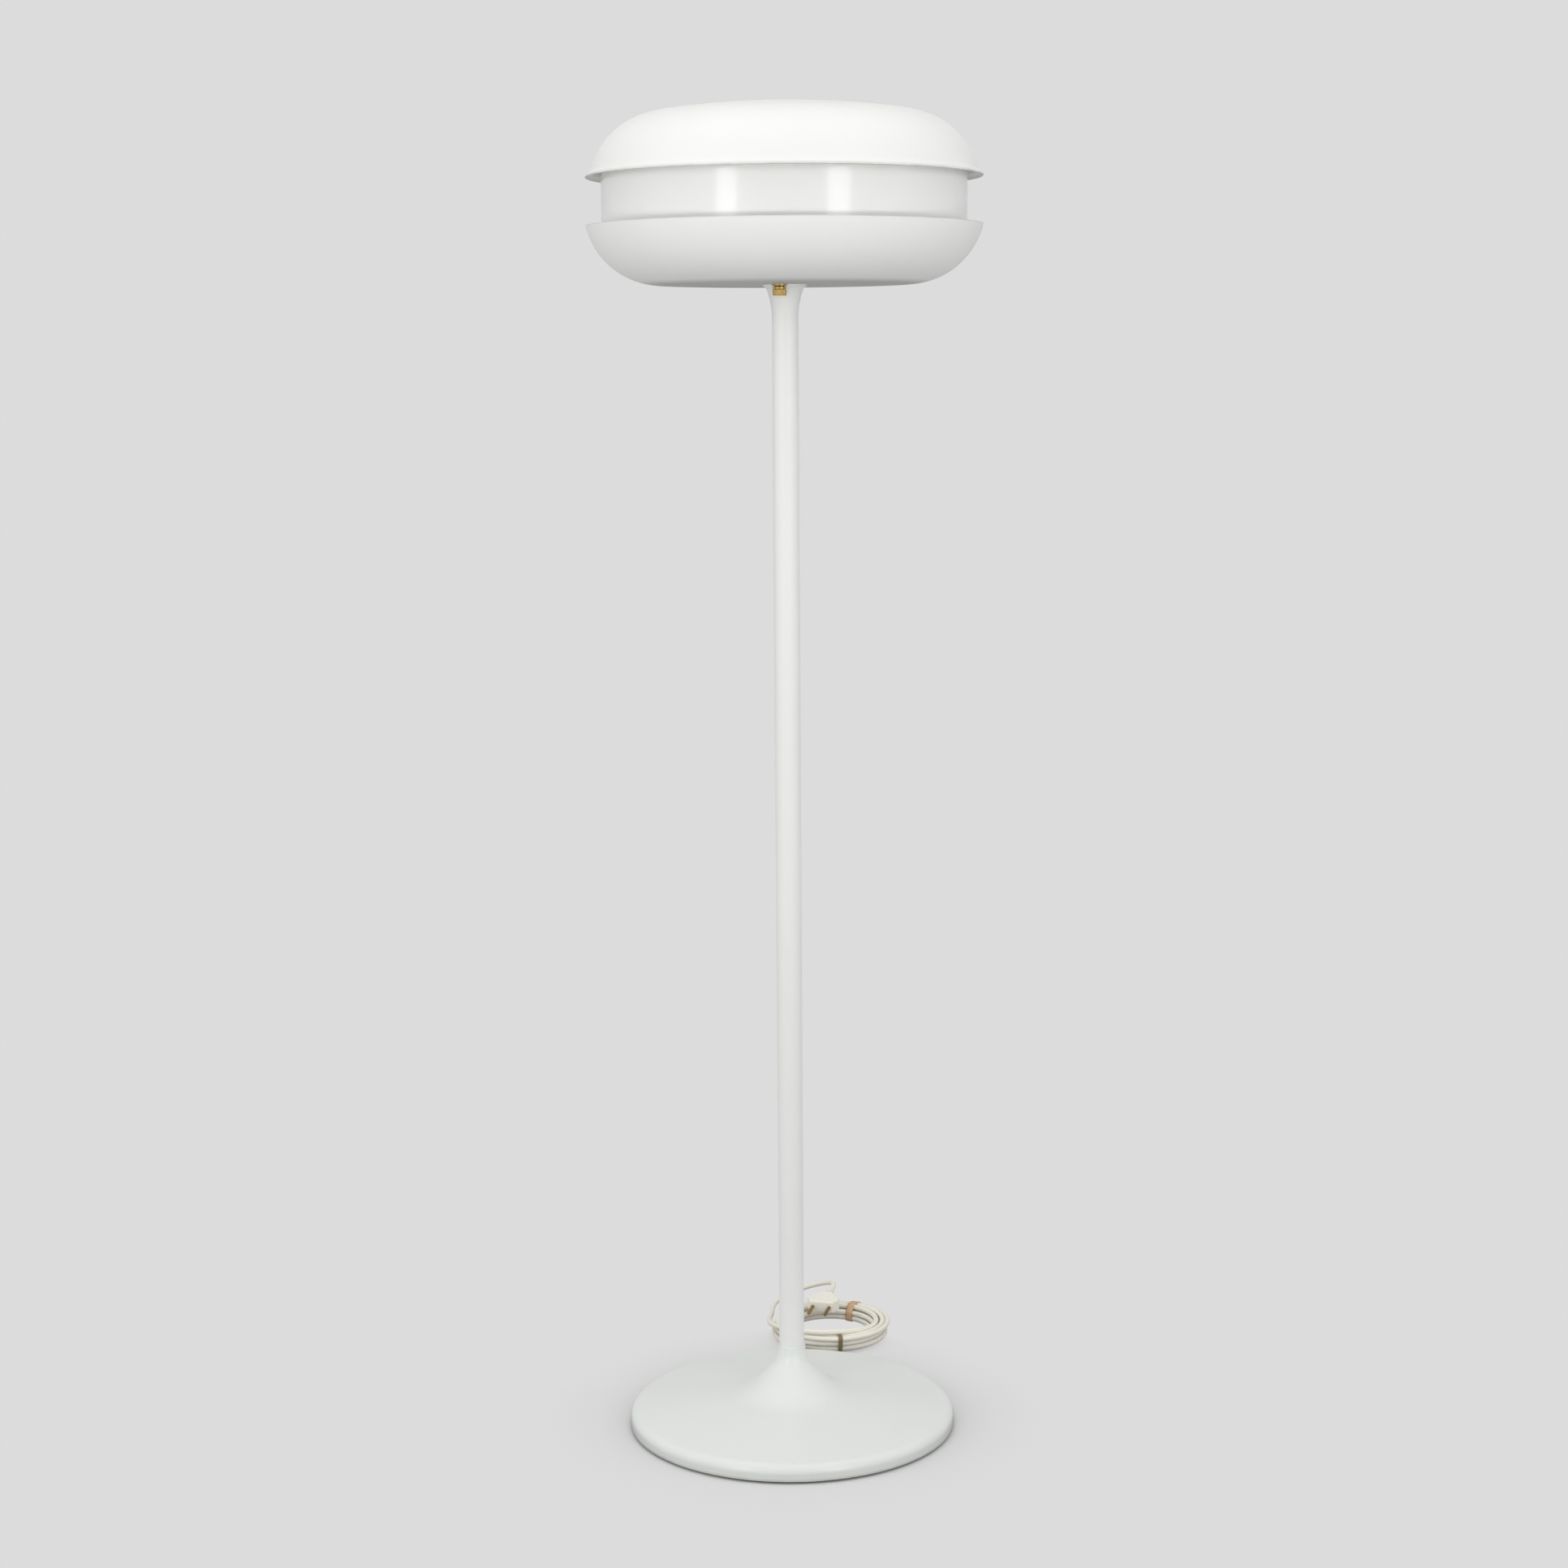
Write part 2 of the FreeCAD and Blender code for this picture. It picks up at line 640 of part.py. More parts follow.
for i in range(knob_flutes):
    middle = along(knob_radius + 0.2, 360 / knob_flutes * i, knob_foot)
    knob = knob.cut(Part.makeCylinder(flute_radius, knob_height, middle))
knob = knob.fuse(ring(0, shaft_radius, knob_top - 2, bowl_floor + shaft_depth - 1))
knob.translate(at_switch)
save("switch_knob", one(knob))

# ---- wires inside the head ----
wires = []
switch_top = bowl_floor + switch_height
for side in (-2.0, 2.0):
    wires.append(
        route_tube(
            "switch wire",
            [
                V(switch_x + side, switch_y, switch_top),
                V(switch_x + side, switch_y, switch_top + 10),
                V(switch_x + side, (switch_y + wire_hole[1]) / 2, switch_top + 22),
                V(wire_hole[0] + side * 0.8, wire_hole[1] - 0.4, hub_bottom - 6),
                V(wire_hole[0] + side * 0.8, wire_hole[1], hub_floor + 4),
            ],
            wire_radius,
        )
    )
save("switch_wires", *wires)

# ================= drum and its lugs =================

drum_radius = head_radius - drum_inset
lug_angle = math.degrees(lug_width / drum_radius)
groove_inner = drum_radius - drum_wall - gap
groove_outer = drum_radius + gap
drum_foot = bowl_centre_z - inside_reach(groove_outer, bowl_flat) + lug_web
drum_head = shoulder_z + inside_reach(groove_outer, shoulder_r) - lug_web
save("diffuser_drum", ring(drum_radius - drum_wall, drum_radius, drum_foot, drum_head))

bowl_inside = core_of(run_edges((0, bowl_bottom), 0, bowl_moves, pan_wall + thread_gap))
dome_inside = core_of(run_edges((0, total_height), 0, dome_moves[:2], -pan_wall - thread_gap))


def lugs(low, high, space, groove):
    """Blocks with a groove for the drum's edge, shaped to the pan that carries them."""
    out = []
    for i in range(lug_count):
        outline = polygon(
            (groove_inner - lug_flank, low), (groove_outer + lug_flank, low),
            (groove_outer + lug_flank, high), (groove_inner - lug_flank, high),
        )
        block = turned(outline, lug_angle, 30 + 360 / lug_count * i - lug_angle / 2)
        out.append(one(block.common(space).cut(ring(groove_inner, groove_outer, *groove))))
    return out


reach = 40.0
low_lugs = lugs(drum_foot - reach, drum_foot + lug_grip, bowl_inside, (drum_foot, drum_foot + reach))
high_lugs = lugs(drum_head - lug_grip, drum_head + reach, dome_inside, (drum_head - reach, drum_head))
save("bowl_lugs", *low_lugs)
save("dome_lugs", *high_lugs)
save("dome_shell", sheet((0, total_height), 0, dome_moves, -pan_wall))

# ================= lead inside the lamp =================

lead_start = along(boot_end, boot_angle, lead_height)
bend_start = along(lead_bend, boot_angle, lead_height)
bend_end = V(0, 0, lead_height + lead_bend)
diagonal = lead_bend * (1 - math.sqrt(0.5))
bend_middle = along(diagonal, boot_angle, lead_height + diagonal)
lead_path = Part.Wire(
    [
        Part.LineSegment(lead_start, bend_start).toShape(),
        Part.Arc(bend_start, bend_middle, bend_end).toShape(),
        Part.LineSegment(bend_end, V(0, 0, lead_top)).toShape(),
    ]
)
lead_end = Part.Wire(Part.makeCircle(cord_radius, lead_start, boot_way))
save("inner_lead", lead_path.makePipeShell([lead_end], True, False))

# ================= cord behind the base =================

lead_points = [lead_start, along(boot_end + lead_exit, boot_angle, lead_height)] + lead_route
save("cord_lead", route_tube("cord_lead", lead_points, cord_radius))

coil_bottom = tie_thickness + 0.1
coil_outline = (coil_inner_radius, coil_bottom, coil_outer_radius, coil_bottom + coil_height)
coil = turned(rounded_box_outline(*coil_outline, coil_round))
coil.translate(V(coil_x, coil_y, 0))
save("cord_coil", coil)

tie_gap = 0.1
ties = []
for angle, width in ((tie_front_angle, tie_front_width), (tie_back_angle, tie_back_width)):
    grown = []
    for extra in (tie_gap, tie_gap + tie_thickness):
        box = [side + grow for side, grow in zip(coil_outline, (-extra, -extra, extra, extra))]
        grown.append(rounded_box_outline(*box, coil_round + extra))
    span = math.degrees(width / coil_outer_radius)
    hollow, full = [turned(edges, span, angle - span / 2) for edges in grown]
    tie = full.cut(hollow)
    tie.translate(V(coil_x, coil_y, 0))
    ties.append(one(tie))
save("cord_ties", *ties)

# the plug is built with its face at the origin, its pins along -Y, and then laid on the coil
half_width = plug_width / 2
half_nose = half_width - 4.5
half_rear = 6.5
half = [(half_nose, 0), (half_width, 9), (half_width, 14), (half_rear, plug_depth)]
outline = half + [(-x, y) for x, y in reversed(half)]
plug_floor = [V(x, y, -plug_thickness / 2) for x, y in outline + outline[:1]]
plug = Part.Face(Part.makePolygon(plug_floor)).extrude(V(0, 0, plug_thickness))
upright = [e for e in plug.Edges if abs(e.tangentAt(e.FirstParameter).z) > 0.99]
plug = plug.makeFillet(2.5, upright)
level = [e for e in plug.Edges if e.BoundBox.ZLength < 0.01 and e.BoundBox.YMax > 0.01]
plug = plug.makeFillet(1.6, level)
pins = []
for x in (-pin_spacing / 2, pin_spacing / 2):
    pin = Part.makeCylinder(pin_radius, pin_length + pin_root, V(x, pin_root, 0), V(0, -1, 0))
    tip = [e for e in pin.Edges if e.BoundBox.YMax < -pin_length + 0.01]
    pin = pin.makeFillet(pin_radius * 0.7, tip)
    pins.append(pin)
for pin in pins:
    plug = plug.cut(pin)
sleeve_root = 5.2
sleeve = Part.makeCone(sleeve_root, cord_radius + 0.6, plug_sleeve_length, V(0, plug_depth, 0), V(0, 1, 0))
slit_width = 1.3
for share in (0.25, 0.41, 0.57, 0.73):
    at = V(0, plug_depth + plug_sleeve_length * share, 0)
    slit = Part.makeCylinder(sleeve_root + 1, slit_width, at, V(0, 1, 0))
    sleeve = sleeve.cut(slit.cut(Part.makeCylinder(cord_radius + 0.5, slit_width, at, V(0, 1, 0))))


def laid(shape):
    """Moves a piece of the plug to where the plug lies."""
    copy = shape.copy()
    copy.rotate(V(0, 0, 0), V(1, 0, 0), plug_dip)
    copy.rotate(V(0, 0, 0), V(0, 0, 1), plug_turn)
    copy.translate(plug_face)
    return copy


save("plug_body", laid(plug))
save("plug_sleeve", laid(one(sleeve)))
save("plug_pins", *[laid(pin) for pin in pins])
plug_end = plug_depth + plug_sleeve_length
tail_points = [laid(Part.Vertex(0, y, 0)).Point for y in (plug_end, plug_end + tail_exit)] + tail_route
save("cord_tail", route_tube("cord_tail", tail_points, cord_radius))
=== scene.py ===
import math
import bpy
import bmesh
from mathutils import Matrix, Vector, geometry


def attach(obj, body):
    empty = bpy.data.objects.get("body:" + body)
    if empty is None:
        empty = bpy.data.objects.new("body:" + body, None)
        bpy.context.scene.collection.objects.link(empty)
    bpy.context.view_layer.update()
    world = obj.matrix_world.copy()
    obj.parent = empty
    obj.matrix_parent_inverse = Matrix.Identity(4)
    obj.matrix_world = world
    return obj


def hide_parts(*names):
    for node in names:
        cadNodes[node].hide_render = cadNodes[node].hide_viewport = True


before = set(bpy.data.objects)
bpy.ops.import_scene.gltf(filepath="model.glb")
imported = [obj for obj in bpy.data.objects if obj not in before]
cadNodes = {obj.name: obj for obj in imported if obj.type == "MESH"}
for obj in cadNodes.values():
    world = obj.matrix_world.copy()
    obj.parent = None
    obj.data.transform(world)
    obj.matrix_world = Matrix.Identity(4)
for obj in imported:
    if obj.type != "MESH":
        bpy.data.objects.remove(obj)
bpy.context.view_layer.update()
scene = bpy.context.scene
scene.view_settings.view_transform = "Standard"
print("frame loaded:", len(cadNodes), "nodes")


# the photograph's viewpoint
cameraLook = {
    "place": (0.0, -2.6847, 1.0635),
    "pitchDown": 8.725,
    "turnLeft": 0.0853,
    "roll": -0.385,
    "focalPixels": 3426.5,
    "imagePixels": 1932.0,
}


def placeCamera(look):
    data = bpy.data.cameras.new("photoCamera")
    data.sensor_fit = "HORIZONTAL"
    data.sensor_width = 36.0
    data.lens = look["focalPixels"] / look["imagePixels"] * data.sensor_width
    data.clip_start = 0.05
    data.clip_end = 60.0
    camera = bpy.data.objects.new("photoCamera", data)
    scene.collection.objects.link(camera)
    turn = Matrix.Rotation(math.radians(look["turnLeft"]), 4, "Z")
    tilt = Matrix.Rotation(math.radians(90 - look["pitchDown"]), 4, "X")
    roll = Matrix.Rotation(math.radians(look["roll"]), 4, "Z")
    camera.matrix_world = Matrix.Translation(look["place"]) @ turn @ tilt @ roll
    scene.camera = camera


placeCamera(cameraLook)
print("camera placed")


# the cord is one spline from the boot, round the coil and on to the plug, in millimetres
cordLook = {
    "diameter": 5.6,
    "length": 2960.0,
    "exit": (-5.4222, 188.2219, 8.0),
    "lead": [(-5.4222, 188.2219, 8.0), (-5.7504, 199.6172, 8.0), (-9.0, 213.0, 5.4), (-14.0, 226.0, 3.6)],
    "coilCentre": (44.0, 252.0),
    "startAngle": 204.0,
    "pointsPerTurn": 16,
    # turns, radius and height: in along the floor, out on top of that, in again, then over the outside
    "winding": [
        (0.0, 63.4, 3.7), (2.6, 43.4, 3.7), (2.95, 41.6, 9.5), (5.15, 61.6, 9.5), (5.5, 62.6, 15.3),
        (7.64, 48.4, 15.3), (7.74, 50.5, 20.8), (7.88, 58.2, 22.0), (7.96, 63.6, 21.0), (8.02, 66.6, 16.4),
        (8.1, 67.4, 9.8),
    ],
    "easing": (0.08, 0.05),  # reach in turns, for the radius and for the height
    "wander": ((0.3, 1.37, 1.0), (0.2, 0.61, 2.0)),  # millimetres, waves per turn and phase
    "fadeTurns": 0.5,
    "evenFrom": 7.6,  # turns, from where the coil no longer wanders
    "tail": [
        (-24.3, 280.5, 6.2), (-24.0, 295.5, 3.8), (-21.8, 311.9, 3.0), (-21.6, 327.9, 3.2),
        (-18.7, 342.6, 4.2), (-11.4, 355.2, 6.1), (0.3, 363.7, 9.3), (14.5, 366.7, 13.6),
        (28.7, 363.7, 18.6), (40.3, 355.0, 23.6), (47.1, 342.2, 27.6), (48.073, 328.120, 29.264),
        (44.876, 316.188, 28.183),
    ],
}


def fromTable(table, at, column):
    for a, b in zip(table, table[1:]):
        if at <= b[0]:
            share = max(0.0, (at - a[0]) / (b[0] - a[0]))
            return a[column] + (b[column] - a[column]) * share
    return table[-1][column]


def eased(table, at, column, reach):
    spots = [min(table[-1][0], max(0.0, at + reach * k / 2)) for k in (-2, -1, 0, 1, 2)]
    return sum(fromTable(table, s, column) for s in spots) / len(spots)


def cordPoints(look):
    table = look["winding"]
    perTurn = look["pointsPerTurn"]
    swell = 1 / (0.75 + 0.25 * math.cos(2 * math.pi / perTurn))  # a spline cuts inside its points
    radiusEase, heightEase = look["easing"]
    fading = look["fadeTurns"]
    points = list(look["lead"])
    for i in range(1, int(table[-1][0] * perTurn) + 1):
        turns = i / perTurn
        radius = eased(table, turns, 1, radiusEase)
        height = eased(table, turns, 2, heightEase)
        fade = min(1.0, turns / fading, max(0.0, (look["evenFrom"] - turns) / fading))
        wander = sum(
            size * math.sin(2 * math.pi * turns * waves + phase) for size, waves, phase in look["wander"]
        )
        radius = (radius + fade * wander) * swell
        angle = math.radians(look["startAngle"] - 360 * turns)
        x = look["coilCentre"][0] + radius * math.cos(angle)
        y = look["coilCentre"][1] + radius * math.sin(angle)
        points.append((x, y, height))
    return points + list(look["tail"])


def makeCord(look):
    curve = bpy.data.curves.new("powerCord", "CURVE")
    curve.dimensions = "3D"
    spline = curve.splines.new("NURBS")
    points = cordPoints(look)
    spline.points.add(len(points) - 1)
    for target, point in zip(spline.points, points):
        target.co = (point[0] / 1000, point[1] / 1000, point[2] / 1000, 1.0)
    spline.order_u = 3
    spline.use_endpoint_u = True
    curve.resolution_u = 5
    curve.bevel_depth = look["diameter"] / 2000
    curve.bevel_resolution = 5
    cord = bpy.data.objects.new("powerCord", curve)
    scene.collection.objects.link(cord)
    return cord


powerCord = makeCord(cordLook)
print("cord laid out")


# node groups that several finishes share
def startGroup(name, inputs, outputs):
    group = bpy.data.node_groups.new(name, "ShaderNodeTree")
    for label, kind, value in [("Vector", "NodeSocketVector", (0, 0, 0))] + inputs:
        socket = group.interface.new_socket(name=label, in_out="INPUT", socket_type=kind)
        socket.default_value = value
    for label, kind in outputs:
        group.interface.new_socket(name=label, in_out="OUTPUT", socket_type=kind)
    return group, group.nodes.new("NodeGroupInput").outputs, group.nodes.new("NodeGroupOutput").inputs


def link(tree, source, target):
    tree.links.new(source, target)


def feed(tree, value, socket):
    # another node's socket is linked, anything else is set
    if hasattr(value, "links"):
        link(tree, value, socket)
    else:
        socket.default_value = value


def mathNode(tree, operation, a, b=None):
    node = tree.nodes.new("ShaderNodeMath")
    node.operation = operation
    for socket, value in zip(node.inputs, (a, b)):
        if value is not None:
            feed(tree, value, socket)
    return node.outputs[0]


def plus(tree, a, b):
    return mathNode(tree, "ADD", a, b)


def minus(tree, a, b):
    return mathNode(tree, "SUBTRACT", a, b)


def times(tree, a, b):
    return mathNode(tree, "MULTIPLY", a, b)


def over(tree, a, b):
    return mathNode(tree, "DIVIDE", a, b)


def splitVector(tree, vector):
    parts = tree.nodes.new("ShaderNodeSeparateXYZ")
    link(tree, vector, parts.inputs[0])
    return parts.outputs


def awayFromAxis(tree, x, y):
    return mathNode(tree, "SQRT", plus(tree, times(tree, x, x), times(tree, y, y)))


def noiseNode(tree, coordinates, scale, detail=3.0, roughness=0.55):
    node = tree.nodes.new("ShaderNodeTexNoise")
    node.noise_dimensions = "3D"
    link(tree, coordinates, node.inputs["Vector"])
    for label, value in (("Scale", scale), ("Detail", detail), ("Roughness", roughness)):
        feed(tree, value, node.inputs[label])
    return node.outputs["Fac"]


def spreadNode(tree, value, low, high, start=0.0, end=1.0):
    node = tree.nodes.new("ShaderNodeMapRange")
    link(tree, value, node.inputs["Value"])
    for label, number in (("From Min", low), ("From Max", high), ("To Min", start), ("To Max", end)):
        feed(tree, number, node.inputs[label])
    return node.outputs["Result"]


def mixColors(tree, factor, a, b):
    node = tree.nodes.new("ShaderNodeMix")
    node.data_type = "RGBA"
    for index, value in ((0, factor), (6, a), (7, b)):  # the factor and the colour sockets
        feed(tree, value, node.inputs[index])
    return node.outputs[2]


def buildTonePatches():
    # slow colour drift, as paint and plastic get with age
    group, given, result = startGroup(
        "tonePatches",
        [
            ("Color", "NodeSocketColor", (0.8, 0.8, 0.8, 1)),
            ("Aged Color", "NodeSocketColor", (0.7, 0.7, 0.6, 1)), ("Scale", "NodeSocketFloat", 8.0),
            ("Amount", "NodeSocketFloat", 0.3),
        ],
        [("Color", "NodeSocketColor"), ("Mask", "NodeSocketFloat")],
    )
    broad = noiseNode(group, given["Vector"], given["Scale"], 2.0)
    fine = noiseNode(group, given["Vector"], times(group, given["Scale"], 7.3), 4.0)
    blend = plus(group, times(group, broad, 0.7), times(group, fine, 0.3))
    mask = spreadNode(group, blend, 0.38, 0.66)
    share = times(group, mask, given["Amount"])
    color = mixColors(group, share, given["Color"], given["Aged Color"])
    link(group, color, result["Color"])
    link(group, mask, result["Mask"])
    return group


def buildSurfaceGrain():
    # the fine unevenness of a sprayed, moulded or cast skin
    group, given, result = startGroup(
        "surfaceGrain",
        [
            ("Scale", "NodeSocketFloat", 900.0), ("Roughness", "NodeSocketFloat", 0.4),
            ("Roughness Spread", "NodeSocketFloat", 0.08),
        ],
        [("Height", "NodeSocketFloat"), ("Roughness", "NodeSocketFloat")],
    )
    grain = noiseNode(group, given["Vector"], given["Scale"], 3.0)
    smear = noiseNode(group, given["Vector"], times(group, given["Scale"], 0.03), 3.0)
    half = times(group, given["Roughness Spread"], 0.5)
    low = minus(group, given["Roughness"], half)
    high = plus(group, given["Roughness"], half)
    link(group, grain, result["Height"])
    link(group, spreadNode(group, smear, 0.3, 0.7, low, high), result["Roughness"])
    return group


def buildDustSpecks():
    # scattered small specks, seen close up
    group, given, result = startGroup(
        "dustSpecks",
        [("Scale", "NodeSocketFloat", 160.0), ("Size", "NodeSocketFloat", 0.08)],
        [("Mask", "NodeSocketFloat")],
    )
    cells = group.nodes.new("ShaderNodeTexVoronoi")
    link(group, given["Vector"], cells.inputs["Vector"])
    link(group, given["Scale"], cells.inputs["Scale"])
    near = mathNode(group, "LESS_THAN", cells.outputs["Distance"], given["Size"])
    sparse = mathNode(group, "GREATER_THAN", noiseNode(group, given["Vector"], 45.0, 2.0), 0.56)
    link(group, times(group, near, sparse), result["Mask"])
    return group


def buildTurningLines():
    # rings left by turning or spinning a piece about its upright axis
    group, given, result = startGroup(
        "turningLines",
        [("Scale", "NodeSocketFloat", 900.0)],
        [("Height", "NodeSocketFloat")],
    )
    x, y, z = splitVector(group, given["Vector"])
    across = awayFromAxis(group, x, y)
    line = group.nodes.new("ShaderNodeCombineXYZ")
    link(group, across, line.inputs[0])
    link(group, z, line.inputs[1])
    link(group, noiseNode(group, line.outputs[0], given["Scale"], 2.0), result["Height"])
    return group


def buildRimWearAndShade():
    # a broken band at one height, used for worn paint and dirt along a rim and for painted shade along lower
    # edges and under the bowl
    group, given, result = startGroup(
        "rimWear",
        [
            ("Height", "NodeSocketFloat", 1.2), ("Width", "NodeSocketFloat", 0.002),
            ("Break Up", "NodeSocketFloat", 60.0),
        ],
        [("Mask", "NodeSocketFloat")],
    )
    z = splitVector(group, given["Vector"])[2]
    away = mathNode(group, "ABSOLUTE", minus(group, z, given["Height"]))
    band = minus(group, 1.0, over(group, away, given["Width"]))
    noise = noiseNode(group, given["Vector"], given["Break Up"])
    patchy = spreadNode(group, noise, 0.3, 0.6, 0.6, 1.0)
    mask = times(group, mathNode(group, "MAXIMUM", band, 0.0), patchy)
    link(group, mask, result["Mask"])
    return group


sharedGroups = {
    "tone": buildTonePatches(), "grain": buildSurfaceGrain(), "specks": buildDustSpecks(),
    "lines": buildTurningLines(), "rim": buildRimWearAndShade(),
}
print("shader groups built")


# finishes
def groupNode(tree, name, **values):
    node = tree.nodes.new("ShaderNodeGroup")
    node.node_tree = sharedGroups[name]
    for label, value in values.items():
        feed(tree, value, node.inputs[label.replace("_", " ")])
    return node


def startFinish(name):
    material = bpy.data.materials.new(name)
    material.use_nodes = True
    tree = material.node_tree
    shader = tree.nodes["Principled BSDF"]
    coordinates = tree.nodes.new("ShaderNodeTexCoord").outputs["Object"]
    return material, tree, shader, coordinates


def addBump(tree, shader, height, strength, distance):
    bump = tree.nodes.new("ShaderNodeBump")
    bump.inputs["Strength"].default_value = strength
    bump.inputs["Distance"].default_value = distance
    link(tree, height, bump.inputs["Height"])
    link(tree, bump.outputs["Normal"], shader.inputs["Normal"])


def footAndTop(name):
    heights = [v.co.z for v in cadNodes[name].data.vertices]
    return min(heights), max(heights)


def toneAndGrain(tree, coordinates, look, toneScale, toneAmount, roughnessSpread):
    # the last three are for a look that doesn't name its own
    tone = groupNode(
        tree, "tone", Vector=coordinates, Color=look["color"], Aged_Color=look["aged"],
        Scale=look.get("toneScale", toneScale), Amount=look.get("toneAmount", toneAmount),
    )
    grain = groupNode(
        tree, "grain", Vector=coordinates, Scale=look["grainScale"], Roughness=look["roughness"],
        Roughness_Spread=look.get("roughnessSpread", roughnessSpread),
    )
    return tone.outputs["Color"], grain


def coatedFinish(name, look):
    # paint, plastic, porcelain and cast iron
    material, tree, shader, coordinates = startFinish(name)
    color, grain = toneAndGrain(tree, coordinates, look, 9.0, 0.35, 0.08)
    if "speckColor" in look:
        specks = groupNode(
            tree, "specks", Vector=coordinates, Scale=look["speckScale"], Size=look["speckSize"],
        )
        color = mixColors(tree, specks.outputs["Mask"], color, look["speckColor"])
    for band in look.get("bands", []):
        foot, top = footAndTop(band["of"])
        rim = groupNode(
            tree, "rim", Vector=coordinates, Height=foot if band["at"] == "bottom" else top,
            Width=band["width"], Break_Up=band.get("breakUp", 60.0),
        )
        mask = rim.outputs["Mask"]
        if "dull" in band:
            # this band lies on faces that look down only: painted shade on the bowl's underside, with its
            # shine dulled too
            facing = splitVector(tree, tree.nodes.new("ShaderNodeTexCoord").outputs["Normal"])
            mask = times(tree, mask, mathNode(tree, "LESS_THAN", facing[2], 0.0))
        color = mixColors(tree, mask, color, band["color"])
        if "dull" in band:
            shine = minus(tree, 1.0, times(tree, mask, band["dull"]))
            for label, weight in (("Coat Weight", look["coat"]), ("Specular IOR Level", 0.5)):
                link(tree, times(tree, shine, weight), shader.inputs[label])
    link(tree, color, shader.inputs["Base Color"])
    link(tree, grain.outputs["Roughness"], shader.inputs["Roughness"])
    shader.inputs["Coat Weight"].default_value = look.get("coat", 0.0)
    shader.inputs["Coat Roughness"].default_value = look.get("coatRoughness", 0.1)
    shader.inputs["Subsurface Weight"].default_value = look.get("glow", 0.0)
    shader.inputs["Subsurface Scale"].default_value = 0.01
    shader.inputs["Subsurface Radius"].default_value = (1.0, 1.0, 0.9)
    addBump(tree, shader, grain.outputs["Height"], look["bump"], look.get("bumpDepth", 0.0002))
    return material


def metalFinish(name, look):
    material, tree, shader, coordinates = startFinish(name)
    color, grain = toneAndGrain(tree, coordinates, look, 40.0, 0.6, 0.15)
    link(tree, color, shader.inputs["Base Color"])
    link(tree, grain.outputs["Roughness"], shader.inputs["Roughness"])
    shader.inputs["Metallic"].default_value = 1.0
    height = grain.outputs["Height"]
    if look.get("turned"):
        height = groupNode(tree, "lines", Vector=coordinates, Scale=look["turned"]).outputs["Height"]
    addBump(tree, shader, height, look["bump"], look.get("bumpDepth", 0.0002))
    return material


